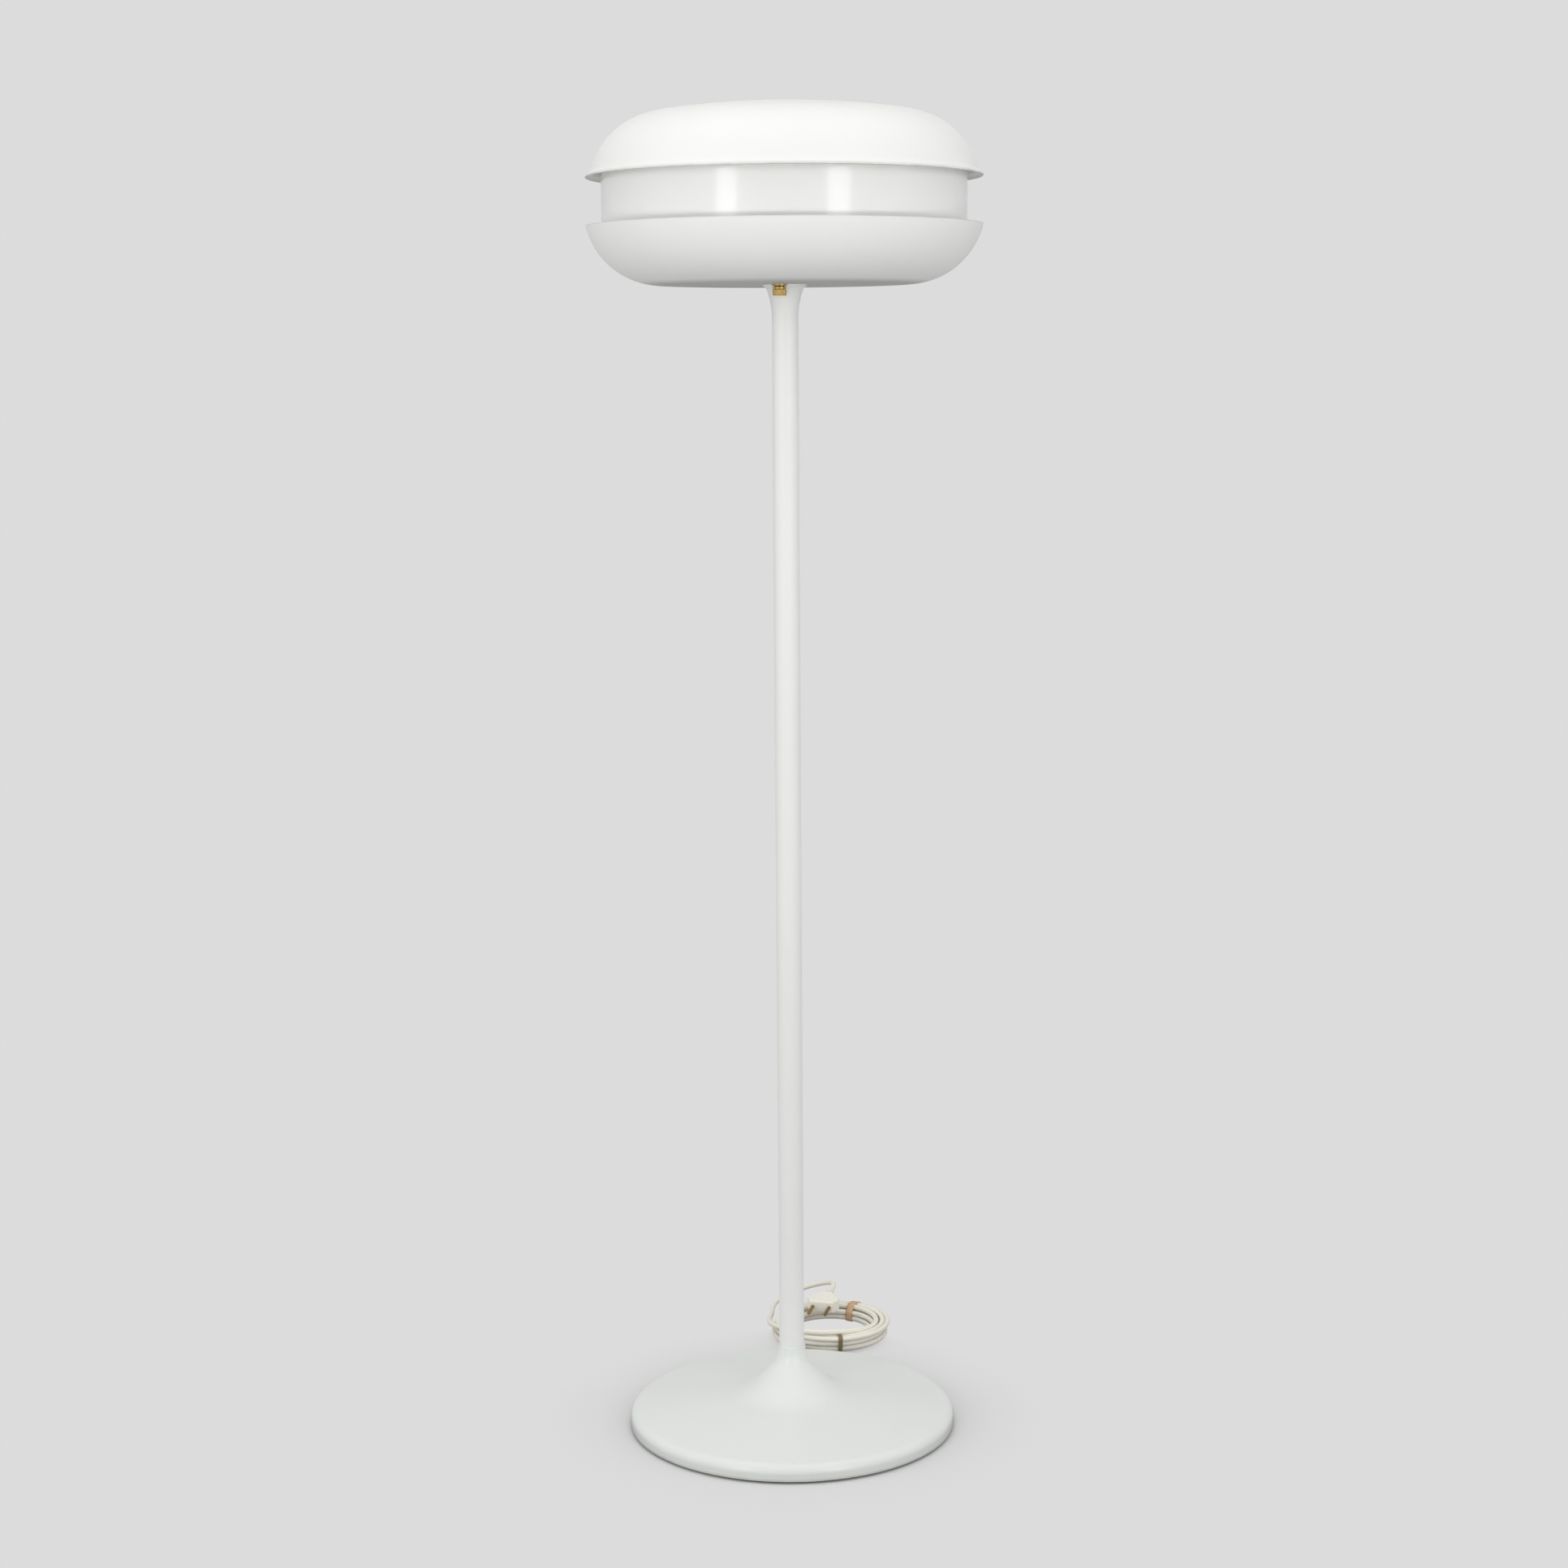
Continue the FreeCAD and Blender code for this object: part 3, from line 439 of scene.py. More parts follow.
sprayedPaint = {
    "color": (0.82, 0.825, 0.81, 1), "aged": (0.78, 0.785, 0.75, 1), "toneScale": 5.0, "toneAmount": 0.4,
    "grainScale": 700.0, "roughnessSpread": 0.08, "coat": 0.2, "coatRoughness": 0.3, "bump": 0.06,
    "speckScale": 150.0, "speckSize": 0.05, "speckColor": (0.64, 0.63, 0.56, 1),
}
finishLooks = {
    "domePaint": {
        **sprayedPaint, "color": (0.835, 0.84, 0.825, 1), "aged": (0.80, 0.805, 0.77, 1), "roughness": 0.46,
        "speckColor": (0.66, 0.65, 0.58, 1),
        # a darker band along the dome's lower rim: painted shade under the lip, with some worn paint
        "bands": [{"of": "dome_shell", "at": "bottom", "width": 0.0035, "color": (0.50, 0.50, 0.46, 1)}],
    },
    "bowlPaint": {
        **sprayedPaint, "roughness": 0.42, "coatRoughness": 0.25,
        "bands": [
            {"of": "bowl_shell", "at": "top", "width": 0.0016, "color": (0.66, 0.66, 0.62, 1)},
            # painted shade: a darker, duller band on the bowl's downward faces
            {
                "of": "bowl_shell", "at": "bottom", "width": 0.003, "color": (0.47, 0.47, 0.45, 1),
                "dull": 1.0, "breakUp": 0.5,
            },
        ],
    },
    "stemPaint": {**sprayedPaint, "roughness": 0.40, "roughnessSpread": 0.06, "coat": 0.3},
    "basePaint": {
        "color": (0.79, 0.815, 0.79, 1), "aged": (0.75, 0.77, 0.73, 1), "toneScale": 6.0, "toneAmount": 0.4,
        "grainScale": 620.0, "roughness": 0.32, "roughnessSpread": 0.08, "coat": 0.3, "coatRoughness": 0.15,
        "bump": 0.08, "speckScale": 140.0, "speckSize": 0.06, "speckColor": (0.58, 0.58, 0.53, 1),
        # a darker band along the base's bottom edge: painted contact shade, with some worn paint
        "bands": [{"of": "base_shell", "at": "bottom", "width": 0.003, "color": (0.55, 0.56, 0.52, 1)}],
    },
    "opalDrum": {
        "color": (0.93, 0.928, 0.905, 1), "aged": (0.89, 0.892, 0.85, 1), "toneScale": 4.0,
        "toneAmount": 0.35, "grainScale": 260.0, "roughness": 0.20, "roughnessSpread": 0.05, "coat": 0.6,
        "coatRoughness": 0.1, "bump": 0.03, "glow": 0.5,
    },
    "ironCasting": {
        "color": (0.10, 0.10, 0.105, 1), "aged": (0.17, 0.11, 0.08, 1), "toneScale": 30.0, "toneAmount": 0.6,
        "grainScale": 420.0, "roughness": 0.72, "bump": 0.6, "bumpDepth": 0.0006,
    },
    "cordPlastic": {
        "color": (0.87, 0.845, 0.76, 1), "aged": (0.79, 0.75, 0.63, 1), "toneScale": 22.0, "toneAmount": 0.5,
        "grainScale": 1500.0, "roughness": 0.5, "bump": 0.15, "speckScale": 300.0, "speckSize": 0.07,
        "speckColor": (0.5, 0.46, 0.36, 1),
    },
    "blackMoulding": {
        "color": (0.025, 0.025, 0.027, 1), "aged": (0.05, 0.048, 0.045, 1), "grainScale": 1200.0,
        "roughness": 0.45, "bump": 0.2,
    },
    "porcelain": {
        "color": (0.82, 0.81, 0.77, 1), "aged": (0.74, 0.72, 0.66, 1), "toneScale": 40.0, "grainScale": 900.0,
        "roughness": 0.22, "coat": 0.5, "bump": 0.05,
    },
    "wirePlastic": {
        "color": (0.72, 0.70, 0.64, 1), "aged": (0.62, 0.59, 0.50, 1), "grainScale": 1600.0, "roughness": 0.5,
        "bump": 0.1,
    },
}
metalLooks = {
    "plainBrass": {
        "color": (0.66, 0.46, 0.17, 1), "aged": (0.36, 0.26, 0.10, 1), "grainScale": 1800.0,
        "roughness": 0.28, "turned": 2600.0, "bump": 0.12, "toneAmount": 0.7,
    },
    # the plug pins' brass: darker than the knob's as painted shade, and rougher
    "dullBrass": {
        "color": (0.40, 0.28, 0.10, 1), "aged": (0.24, 0.17, 0.07, 1), "grainScale": 1500.0, "roughness": 0.4,
        "bump": 0.15, "toneAmount": 0.8,
    },
    "hotWire": {
        "color": (0.30, 0.29, 0.28, 1), "aged": (0.20, 0.19, 0.18, 1), "grainScale": 2000.0,
        "roughness": 0.35, "bump": 0.05,
    },
    "zincSteel": {
        "color": (0.60, 0.61, 0.62, 1), "aged": (0.50, 0.50, 0.46, 1), "grainScale": 900.0, "roughness": 0.36,
        "turned": 1500.0, "bump": 0.15,
    },
    "capMetal": {
        "color": (0.72, 0.71, 0.68, 1), "aged": (0.55, 0.53, 0.48, 1), "grainScale": 1200.0, "roughness": 0.3,
        "bump": 0.1,
    },
}
finishes = {name: coatedFinish(name, look) for name, look in finishLooks.items()}
finishes.update({name: metalFinish(name, look) for name, look in metalLooks.items()})


def feltFinish():
    material, tree, shader, coordinates = startFinish("darkFelt")
    tone = groupNode(
        tree, "tone", Vector=coordinates, Color=(0.030, 0.034, 0.031, 1), Aged_Color=(0.075, 0.078, 0.070, 1),
        Scale=120.0, Amount=0.8,
    )
    fibres = noiseNode(tree, coordinates, 1400.0, 6.0, 0.8)
    link(tree, tone.outputs["Color"], shader.inputs["Base Color"])
    shader.inputs["Roughness"].default_value = 0.95
    shader.inputs["Sheen Weight"].default_value = 0.35
    addBump(tree, shader, fibres, 0.8, 0.0006)
    return material


def tieFinish(name, color, aged):
    material, tree, shader, coordinates = startFinish(name)
    tone = groupNode(tree, "tone", Vector=coordinates, Color=color, Aged_Color=aged, Scale=70.0, Amount=0.8)
    grain = groupNode(tree, "grain", Vector=coordinates, Scale=1300.0, Roughness=0.6, Roughness_Spread=0.15)
    link(tree, tone.outputs["Color"], shader.inputs["Base Color"])
    link(tree, grain.outputs["Roughness"], shader.inputs["Roughness"])
    addBump(tree, shader, grain.outputs["Height"], 0.35, 0.0003)
    return material


def glassFinish():
    material, tree, shader, coordinates = startFinish("bulbGlass")
    grain = groupNode(tree, "grain", Vector=coordinates, Scale=60.0, Roughness=0.05, Roughness_Spread=0.04)
    shader.inputs["Base Color"].default_value = (0.93, 0.94, 0.93, 1)
    shader.inputs["Transmission Weight"].default_value = 1.0
    shader.inputs["Metallic"].default_value = 0.0
    shader.inputs["IOR"].default_value = 1.45
    link(tree, grain.outputs["Roughness"], shader.inputs["Roughness"])
    addBump(tree, shader, grain.outputs["Height"], 0.02, 0.0002)
    return material


finishes["darkFelt"] = feltFinish()
# the front tie's darker colour is painted shade and the back tie's lighter colour is painted light
finishes["oliveTie"] = tieFinish("oliveTie", (0.16, 0.125, 0.055, 1), (0.30, 0.24, 0.13, 1))
finishes["tanTie"] = tieFinish("tanTie", (0.56, 0.33, 0.17, 1), (0.66, 0.46, 0.28, 1))
finishes["bulbGlass"] = glassFinish()
print("finishes made:", len(finishes))

nodeFinishes = {
    "domePaint": ["dome_shell"],
    "bowlPaint": ["bowl_shell"],
    "stemPaint": ["stem_tube", "neck_flare"],
    "basePaint": ["base_shell", "stem_collar"],
    "opalDrum": ["diffuser_drum"],
    "ironCasting": ["base_weight"],
    "zincSteel": [
        "bottom_cover", "cover_screws", "tail_tube", "base_nut", "base_washer", "bowl_washer", "hub_spacer",
        "neck_nipple", "hub_nut", "lid_screws", "socket_nipples", "stem_plug", "bowl_lugs", "dome_lugs",
        "hub_box", "hub_lid",
    ],
    "darkFelt": ["felt_ring"],
    "cordPlastic": [
        "cord_boot", "inner_lead", "cord_lead", "cord_coil", "cord_tail", "plug_body", "plug_sleeve",
    ],
    "oliveTie": ["cord_ties"],
    "dullBrass": ["plug_pins"],
    "plainBrass": ["switch_knob", "switch_ring_nut"]
    + [f"socket_{part}_{i}" for part in ("liner", "contact") for i in (1, 2, 3)],
    "blackMoulding": ["terminal_block", "switch_body"] + [f"socket_shell_{i}" for i in (1, 2, 3)],
    "porcelain": [f"socket_core_{i}" for i in (1, 2, 3)],
    "bulbGlass": [f"bulb_glass_{i}" for i in (1, 2, 3)],
    "capMetal": [f"bulb_cap_{i}" for i in (1, 2, 3)],
    "wirePlastic": ["switch_wires"],
}
for finish, names in nodeFinishes.items():
    for name in names:
        slots = cadNodes[name].material_slots
        if not slots:
            cadNodes[name].data.materials.append(finishes[finish])
        for slot in slots:
            slot.material = finishes[finish]
powerCord.data.materials.append(finishes["cordPlastic"])
print("finishes given to the nodes")


# straps drawn round the strands where they cross the tie's line
tieLook = {
    "front": {"angle": -82.0, "width": 4.5, "finish": "oliveTie"},
    "back": {"angle": 62.0, "width": 8.0, "finish": "tanTie"},
    "thickness": 0.8,
    "slack": 0.15,
    "reach": 0.072,  # metres from the coil's middle, past which a strand isn't held
    "ceiling": 0.0185,  # metres, above which a strand isn't held
    "clearance": 0.00005,  # metres above the floor
    "thinning": 0.25,  # share of the thickness that the edges lose
    "sides": 32,
    "stations": 96,
    "columns": 5,
}


def cordLine():
    bare = powerCord.data.copy()
    bare.bevel_depth = 0
    helper = bpy.data.objects.new("cordLine", bare)
    mesh = bpy.data.meshes.new_from_object(helper)
    line = [v.co.copy() for v in mesh.vertices]
    bpy.data.objects.remove(helper)
    bpy.data.meshes.remove(mesh)
    bpy.data.curves.remove(bare)
    return line


def coilPlane(angle):
    # the coil's middle, the way out from it, and the way across
    centre = Vector((cordLook["coilCentre"][0] / 1000, cordLook["coilCentre"][1] / 1000, 0))
    way = Vector((math.cos(math.radians(angle)), math.sin(math.radians(angle)), 0))
    return centre, way, Vector((-way.y, way.x, 0))


def strandsAt(line, angle):
    # radius and height of each strand that crosses a plane through the coil's middle
    centre, way, side = coilPlane(angle)
    found = []
    for a, b in zip(line, line[1:]):
        da, db = (a - centre).dot(side), (b - centre).dot(side)
        if da * db <= 0 and da != db:
            spot = a.lerp(b, da / (da - db))
            reach = (spot - centre).dot(way)
            if 0 < reach < tieLook["reach"] and spot.z < tieLook["ceiling"]:
                found.append((reach, spot.z))
    return found


def hullLoop(strands, radius, stations):
    turns = [2 * math.pi * k / tieLook["sides"] for k in range(tieLook["sides"])]
    ring = [(r + radius * math.cos(a), z + radius * math.sin(a)) for r, z in strands for a in turns]
    hull = [Vector(ring[i]) for i in geometry.convex_hull_2d(ring)]
    middle = sum((Vector(s) for s in strands), Vector((0, 0))) / len(strands)
    loop = []
    for k in range(stations):
        ray = Vector((math.cos(2 * math.pi * k / stations), math.sin(2 * math.pi * k / stations)))
        for a, b in zip(hull, hull[1:] + hull[:1]):
            edge = b - a
            bottom = ray.x * edge.y - ray.y * edge.x
            if abs(bottom) < 1e-12:
                continue
            along = ((a - middle).x * edge.y - (a - middle).y * edge.x) / bottom
            share = ((a - middle).x * ray.y - (a - middle).y * ray.x) / bottom
            if along > 0 and -1e-6 <= share <= 1 + 1e-6:
                loop.append(middle + ray * along)
                break
    return loop


def makeTie(name, line, look):
    strands = strandsAt(line, look["angle"])
    radius = cordLook["diameter"] / 2000 + tieLook["slack"] / 1000
    inner = hullLoop(strands, radius, tieLook["stations"])
    outer = hullLoop(strands, radius + tieLook["thickness"] / 1000, tieLook["stations"])
    centre, way, side = coilPlane(look["angle"])
    mesh = bpy.data.meshes.new(name)
    tie = bmesh.new()
    columns = tieLook["columns"]
    rows = []
    for crown in (0.0, 1.0):  # the inner face, then the outer one
        for c in range(columns):
            across = 2 * c / (columns - 1) - 1
            drop = crown * tieLook["thinning"] * across * across
            row = []
            for a, b in zip(inner, outer):
                spot = a.lerp(b, 1 - drop) if crown else a
                lifted = Vector((0, 0, max(spot.y, tieLook["clearance"])))
                sideways = side * across * look["width"] / 2000
                row.append(tie.verts.new(centre + way * spot.x + lifted + sideways))
            rows.append(row)
    order = rows[:columns] + rows[columns:][::-1]
    for first, second in zip(order, order[1:] + order[:1]):
        for k in range(len(first)):
            nextOne = (k + 1) % len(first)
            tie.faces.new((first[k], first[nextOne], second[nextOne], second[k]))
    bmesh.ops.recalc_face_normals(tie, faces=tie.faces)
    tie.to_mesh(mesh)
    tie.free()
    for polygon in mesh.polygons:
        polygon.use_smooth = True
    mesh.materials.append(finishes[look["finish"]])
    piece = bpy.data.objects.new(name, mesh)
    scene.collection.objects.link(piece)
    print(name, "holds", len(strands), "strands")
    return piece


strandLine = cordLine()
frontTie = makeTie("frontTie", strandLine, tieLook["front"])
backTie = makeTie("backTie", strandLine, tieLook["back"])


# trees that shape the small turned and wound pieces, sizes in metres
def startTree(name, **labels):
    # the inputs' labels are given by kind, as in Float=("Radius", "Length")
    tree = bpy.data.node_groups.new(name, "GeometryNodeTree")
    sockets = {}
    for kind, names in labels.items():
        for label in names:
            socket = tree.interface.new_socket(name=label, in_out="INPUT", socket_type="NodeSocket" + kind)
            sockets[label] = socket.identifier
    tree.interface.new_socket(name="Geometry", in_out="OUTPUT", socket_type="NodeSocketGeometry")
    return tree, tree.nodes.new("NodeGroupInput").outputs, tree.nodes.new("NodeGroupOutput"), sockets


def socketValues(look, sockets):
    # a value called coilTurns goes to the input labelled Coil Turns
    labels = {(label[0].lower() + label[1:]).replace(" ", ""): label for label in sockets}
    return {labels[key]: value for key, value in look.items() if key in labels}


def shapeNode(tree, kind, **values):
    node = tree.nodes.new(kind)
    for label, value in values.items():
        feed(tree, value, node.inputs[label.replace("_", " ")])
    return node


def splitPosition(tree):
    return splitVector(tree, tree.nodes.new("GeometryNodeInputPosition").outputs[0])


def joinShapes(tree, *shapes):
    node = tree.nodes.new("GeometryNodeJoinGeometry")
    for shape in shapes:
        link(tree, shape, node.inputs[0])
    return node.outputs[0]


def vectorOf(tree, x, y, z):
    return shapeNode(tree, "ShaderNodeCombineXYZ", X=x, Y=y, Z=z).outputs[0]


def raised(tree, shape, height):
    place = vectorOf(tree, 0.0, 0.0, height)
    return shapeNode(tree, "GeometryNodeTransform", Geometry=shape, Translation=place).outputs[0]


def rodFrom(tree, sides, radius, length, foot):
    rod = shapeNode(tree, "GeometryNodeMeshCylinder", Vertices=sides, Radius=radius, Depth=length)
    return raised(tree, rod.outputs["Mesh"], plus(tree, foot, times(tree, length, 0.5)))


def reshaped(tree, shape, x, y, z, factor):
    # each point's distance from the upright axis is multiplied by the factor
    place = vectorOf(tree, times(tree, x, factor), times(tree, y, factor), z)
    return shapeNode(tree, "GeometryNodeSetPosition", Geometry=shape, Position=place).outputs[0]


def profileCurve(tree, value, points):
    node = tree.nodes.new("ShaderNodeFloatCurve")
    curve = node.mapping.curves[0]
    curve.points[0].location, curve.points[1].location = points[0], points[-1]
    for point in points[1:-1]:
        curve.points.new(*point)
    for point in curve.points:
        point.handle_type = "VECTOR"
    node.mapping.update()
    link(tree, value, node.inputs["Value"])
    return node.outputs[0]


def placed(tree, shape, turn, place):
    rotation = shapeNode(tree, "FunctionNodeEulerToRotation", Euler=turn).outputs[0]
    return shapeNode(
        tree, "GeometryNodeTransform", Geometry=shape, Rotation=rotation, Translation=place,
    ).outputs[0]


def finishTree(tree, end, shape, material, markedMaterial=None, mark=None):
    realized = shapeNode(tree, "GeometryNodeRealizeInstances", Geometry=shape).outputs[0]
    smooth = tree.nodes.new("GeometryNodeSetShadeSmooth")
    link(tree, realized, smooth.inputs["Geometry"])
    painted = shapeNode(tree, "GeometryNodeSetMaterial", Geometry=smooth.outputs[0], Material=material)
    if mark is not None:
        painted = shapeNode(
            tree, "GeometryNodeSetMaterial", Geometry=painted.outputs[0], Material=markedMaterial,
            Selection=mark,
        )
    link(tree, painted.outputs[0], end.inputs[0])


def marked(tree, shape):
    node = tree.nodes.new("GeometryNodeCaptureAttribute")
    node.domain = "FACE"
    node.capture_items.new("BOOLEAN", "Mark")
    link(tree, shape, node.inputs[0])
    node.inputs[1].default_value = True
    return node.outputs[0], node.outputs[1]


def growPiece(name, tree, sockets, values):
    maker = bpy.data.objects.new(name + "Maker", bpy.data.meshes.new(name + "Maker"))
    scene.collection.objects.link(maker)
    modifier = maker.modifiers.new("shape", "NODES")
    modifier.node_group = tree
    for label, value in values.items():
        modifier[sockets[label]] = value
    grown = maker.evaluated_get(bpy.context.evaluated_depsgraph_get())
    mesh = bpy.data.meshes.new_from_object(grown)
    mesh.name = name
    maker.modifiers.remove(modifier)
    bpy.data.objects.remove(maker)
    piece = bpy.data.objects.new(name, mesh)
    scene.collection.objects.link(piece)
    print(name, "grown:", len(mesh.polygons), "faces")
    return piece


# bulb caps with their rolled thread
capLook = {
    "radius": 0.007,
    "foot": 0.0466,  # along the socket from the lamp's axis
    "shellStart": 0.0505,
    "shellEnd": 0.0765,
    "pitch": 0.00282,
    "threadDepth": 0.00075,
    "around": 48,
    "rings": 104,
    "height": 1.206565,
    "angles": (90, 210, 330),
    # the insulator ring and the button, as shares of the radius or of the rise from foot to shell
    "ringTop": 0.86,
    "ringBottom": 0.40,
    "ringRise": 0.85,
    "ringLift": 0.17,
    "button": 0.3,
    "buttonLift": 0.15,
}


def buildCapTree():
    tree, given, end, sockets = startTree(
        "threadedCap", Float=("Radius", "Length", "Pitch", "Thread Depth", "Start", "Foot"),
        Int=("Around", "Rings"), Vector=("Turn", "Place"), Material=("Metal", "Insulator"),
    )
    shell = shapeNode(
        tree, "GeometryNodeMeshCylinder", Vertices=given["Around"], Side_Segments=given["Rings"],
        Radius=given["Radius"], Depth=given["Length"],
    )
    x, y, z = splitPosition(tree)
    share = plus(tree, over(tree, z, given["Length"]), 0.5)
    angle = mathNode(tree, "ARCTAN2", y, x)
    turns = over(tree, z, given["Pitch"])
    wave = mathNode(tree, "COSINE", minus(tree, times(tree, turns, 2 * math.pi), angle))
    groove = minus(tree, 0.5, times(tree, wave, 0.5))
    threaded = profileCurve(tree, share, [
        (0.0, 0.0), (0.03, 0.0), (0.09, 1.0), (0.74, 1.0), (0.80, 0.0), (1.0, 0.0),
    ])
    outline = profileCurve(tree, share, [(0.0, 0.88), (0.03, 0.97), (0.06, 1.0), (0.97, 1.0), (1.0, 0.97)])
    depth = over(tree, given["Thread Depth"], given["Radius"])
    cut = times(tree, times(tree, groove, threaded), depth)
    factor = minus(tree, outline, cut)
    shaped = reshaped(tree, shell.outputs["Mesh"], x, y, z, factor)
    body = raised(tree, shaped, plus(tree, given["Start"], times(tree, given["Length"], 0.5)))
    rise = minus(tree, given["Start"], given["Foot"])
    ring = shapeNode(
        tree, "GeometryNodeMeshCone", Vertices=given["Around"], Side_Segments=4,
        Radius_Top=times(tree, given["Radius"], capLook["ringTop"]),
        Radius_Bottom=times(tree, given["Radius"], capLook["ringBottom"]),
        Depth=times(tree, rise, capLook["ringRise"]),
    )
    ringFoot = plus(tree, given["Foot"], times(tree, rise, capLook["ringLift"]))
    dark, mark = marked(tree, raised(tree, ring.outputs["Mesh"], ringFoot))
    button = shapeNode(
        tree, "GeometryNodeMeshUVSphere", Segments=24, Rings=12,
        Radius=times(tree, given["Radius"], capLook["button"]),
    )
    buttonPlace = plus(tree, given["Foot"], times(tree, given["Radius"], capLook["buttonLift"]))
    buttonShape = shapeNode(
        tree, "GeometryNodeTransform", Geometry=button.outputs["Mesh"], Scale=(1.0, 1.0, 0.5),
        Translation=vectorOf(tree, 0.0, 0.0, buttonPlace),
    )
    whole = joinShapes(tree, body, dark, buttonShape.outputs[0])
    laid = placed(tree, whole, given["Turn"], given["Place"])
    finishTree(tree, end, laid, given["Metal"], given["Insulator"], mark)
    return tree, sockets


capTree, capSockets = buildCapTree()
bulbCaps = []
for number, angle in enumerate(capLook["angles"], 1):
    bulbCaps.append(growPiece(f"bulbCap_{number}", capTree, capSockets, {
        **socketValues(capLook, capSockets), "Start": capLook["shellStart"],
        "Length": capLook["shellEnd"] - capLook["shellStart"],
        "Turn": (0.0, math.pi / 2, math.radians(angle)), "Place": (0.0, 0.0, capLook["height"]),
        "Metal": finishes["capMetal"], "Insulator": finishes["blackMoulding"],
    }))


# the wire coil, its leads and the glass foot inside each bulb
filamentLook = {
    "footStart": 0.0768,
    "footEnd": 0.0930,
    "footRadius": 0.0042,
    "footTip": 0.0016,
    "coilAt": 0.1060,
    "span": 0.0180,
    "sag": 0.0025,
    "coilRadius": 0.00045,
    "coilTurns": 26.0,
    "wire": 0.00010,
    "leadWire": 0.00025,
    "leadSpread": 0.0012,
    "leadSink": 0.003,  # how far the leads reach into the glass foot
}


def buildFilamentTree():
    tree, given, end, sockets = startTree(
        "bulbFilament",
        Float=(
            "Foot Start", "Foot End", "Foot Radius", "Foot Tip", "Coil At", "Span", "Sag", "Coil Radius",
            "Coil Turns", "Wire", "Lead Wire", "Lead Spread",
        ),
        Vector=("Turn", "Place"), Material=("Metal", "Glass"),
    )

    def wired(curve, radius, sides):
        ring = shapeNode(tree, "GeometryNodeCurvePrimitiveCircle", Resolution=sides, Radius=radius)
        return shapeNode(
            tree, "GeometryNodeCurveToMesh", Curve=curve, Profile_Curve=ring.outputs["Curve"], Fill_Caps=True,
        ).outputs[0]

    spiral = shapeNode(
        tree, "GeometryNodeCurveSpiral", Resolution=12, Rotations=given["Coil Turns"],
        Start_Radius=given["Coil Radius"], End_Radius=given["Coil Radius"], Height=given["Span"],
    )
    x, y, z = splitPosition(tree)
    half = times(tree, given["Span"], 0.5)
    across = minus(tree, z, half)
    share = over(tree, across, half)
    hang = times(tree, times(tree, share, share), given["Sag"])
    up = plus(tree, minus(tree, x, hang), plus(tree, given["Coil At"], given["Sag"]))
    bent = shapeNode(
        tree, "GeometryNodeSetPosition", Geometry=spiral.outputs["Curve"],
        Position=vectorOf(tree, across, y, up),
    )
    coil = wired(bent.outputs[0], given["Wire"], 6)
    leads = []
    inside = minus(tree, given["Foot End"], filamentLook["leadSink"])
    for side in (-1.0, 1.0):
        near = times(tree, given["Lead Spread"], side)
        far = times(tree, half, side)
        line = shapeNode(
            tree, "GeometryNodeCurvePrimitiveLine", Start=vectorOf(tree, near, 0.0, inside),
            End=vectorOf(tree, far, 0.0, given["Coil At"]),
        )
        leads.append(wired(line.outputs[0], given["Lead Wire"], 8))
    post = shapeNode(
        tree, "GeometryNodeCurvePrimitiveLine", Start=vectorOf(tree, 0.0, 0.0, inside),
        End=vectorOf(tree, 0.0, 0.0, plus(tree, given["Coil At"], given["Sag"])),
    )
    leads.append(wired(post.outputs[0], given["Wire"], 6))
    foot = shapeNode(
        tree, "GeometryNodeMeshCone", Vertices=24, Side_Segments=6, Radius_Top=given["Foot Tip"],
        Radius_Bottom=given["Foot Radius"], Depth=minus(tree, given["Foot End"], given["Foot Start"]),
    )
    clear, mark = marked(tree, raised(tree, foot.outputs["Mesh"], given["Foot Start"]))
    laid = placed(tree, joinShapes(tree, coil, *leads, clear), given["Turn"], given["Place"])
    finishTree(tree, end, laid, given["Metal"], given["Glass"], mark)
    return tree, sockets


filamentTree, filamentSockets = buildFilamentTree()
filaments = []
for number, angle in enumerate(capLook["angles"], 1):
    filaments.append(growPiece(f"bulbFilament_{number}", filamentTree, filamentSockets, {
        **socketValues(filamentLook, filamentSockets), "Turn": (0.0, math.pi / 2, math.radians(angle)),
        "Place": (0.0, 0.0, capLook["height"]), "Metal": finishes["hotWire"], "Glass": finishes["bulbGlass"],
    }))


# cover screws: heads with a cross recess, on a circle under the base
screwLook = {
    "count": 3,
    "circle": 0.095,
    "firstAngle": 151.65,
    "foot": 0.0009,
    "headRadius": 0.0038,
    "headHeight": 0.0016,
    "recessLength": 0.0042,
    "recessWidth": 0.0009,
    "recessDepth": 0.0009,
    "shankRadius": 0.0019,
    "crown": 0.12,  # share of the head's height
    "shankInset": 0.45,  # the same
}


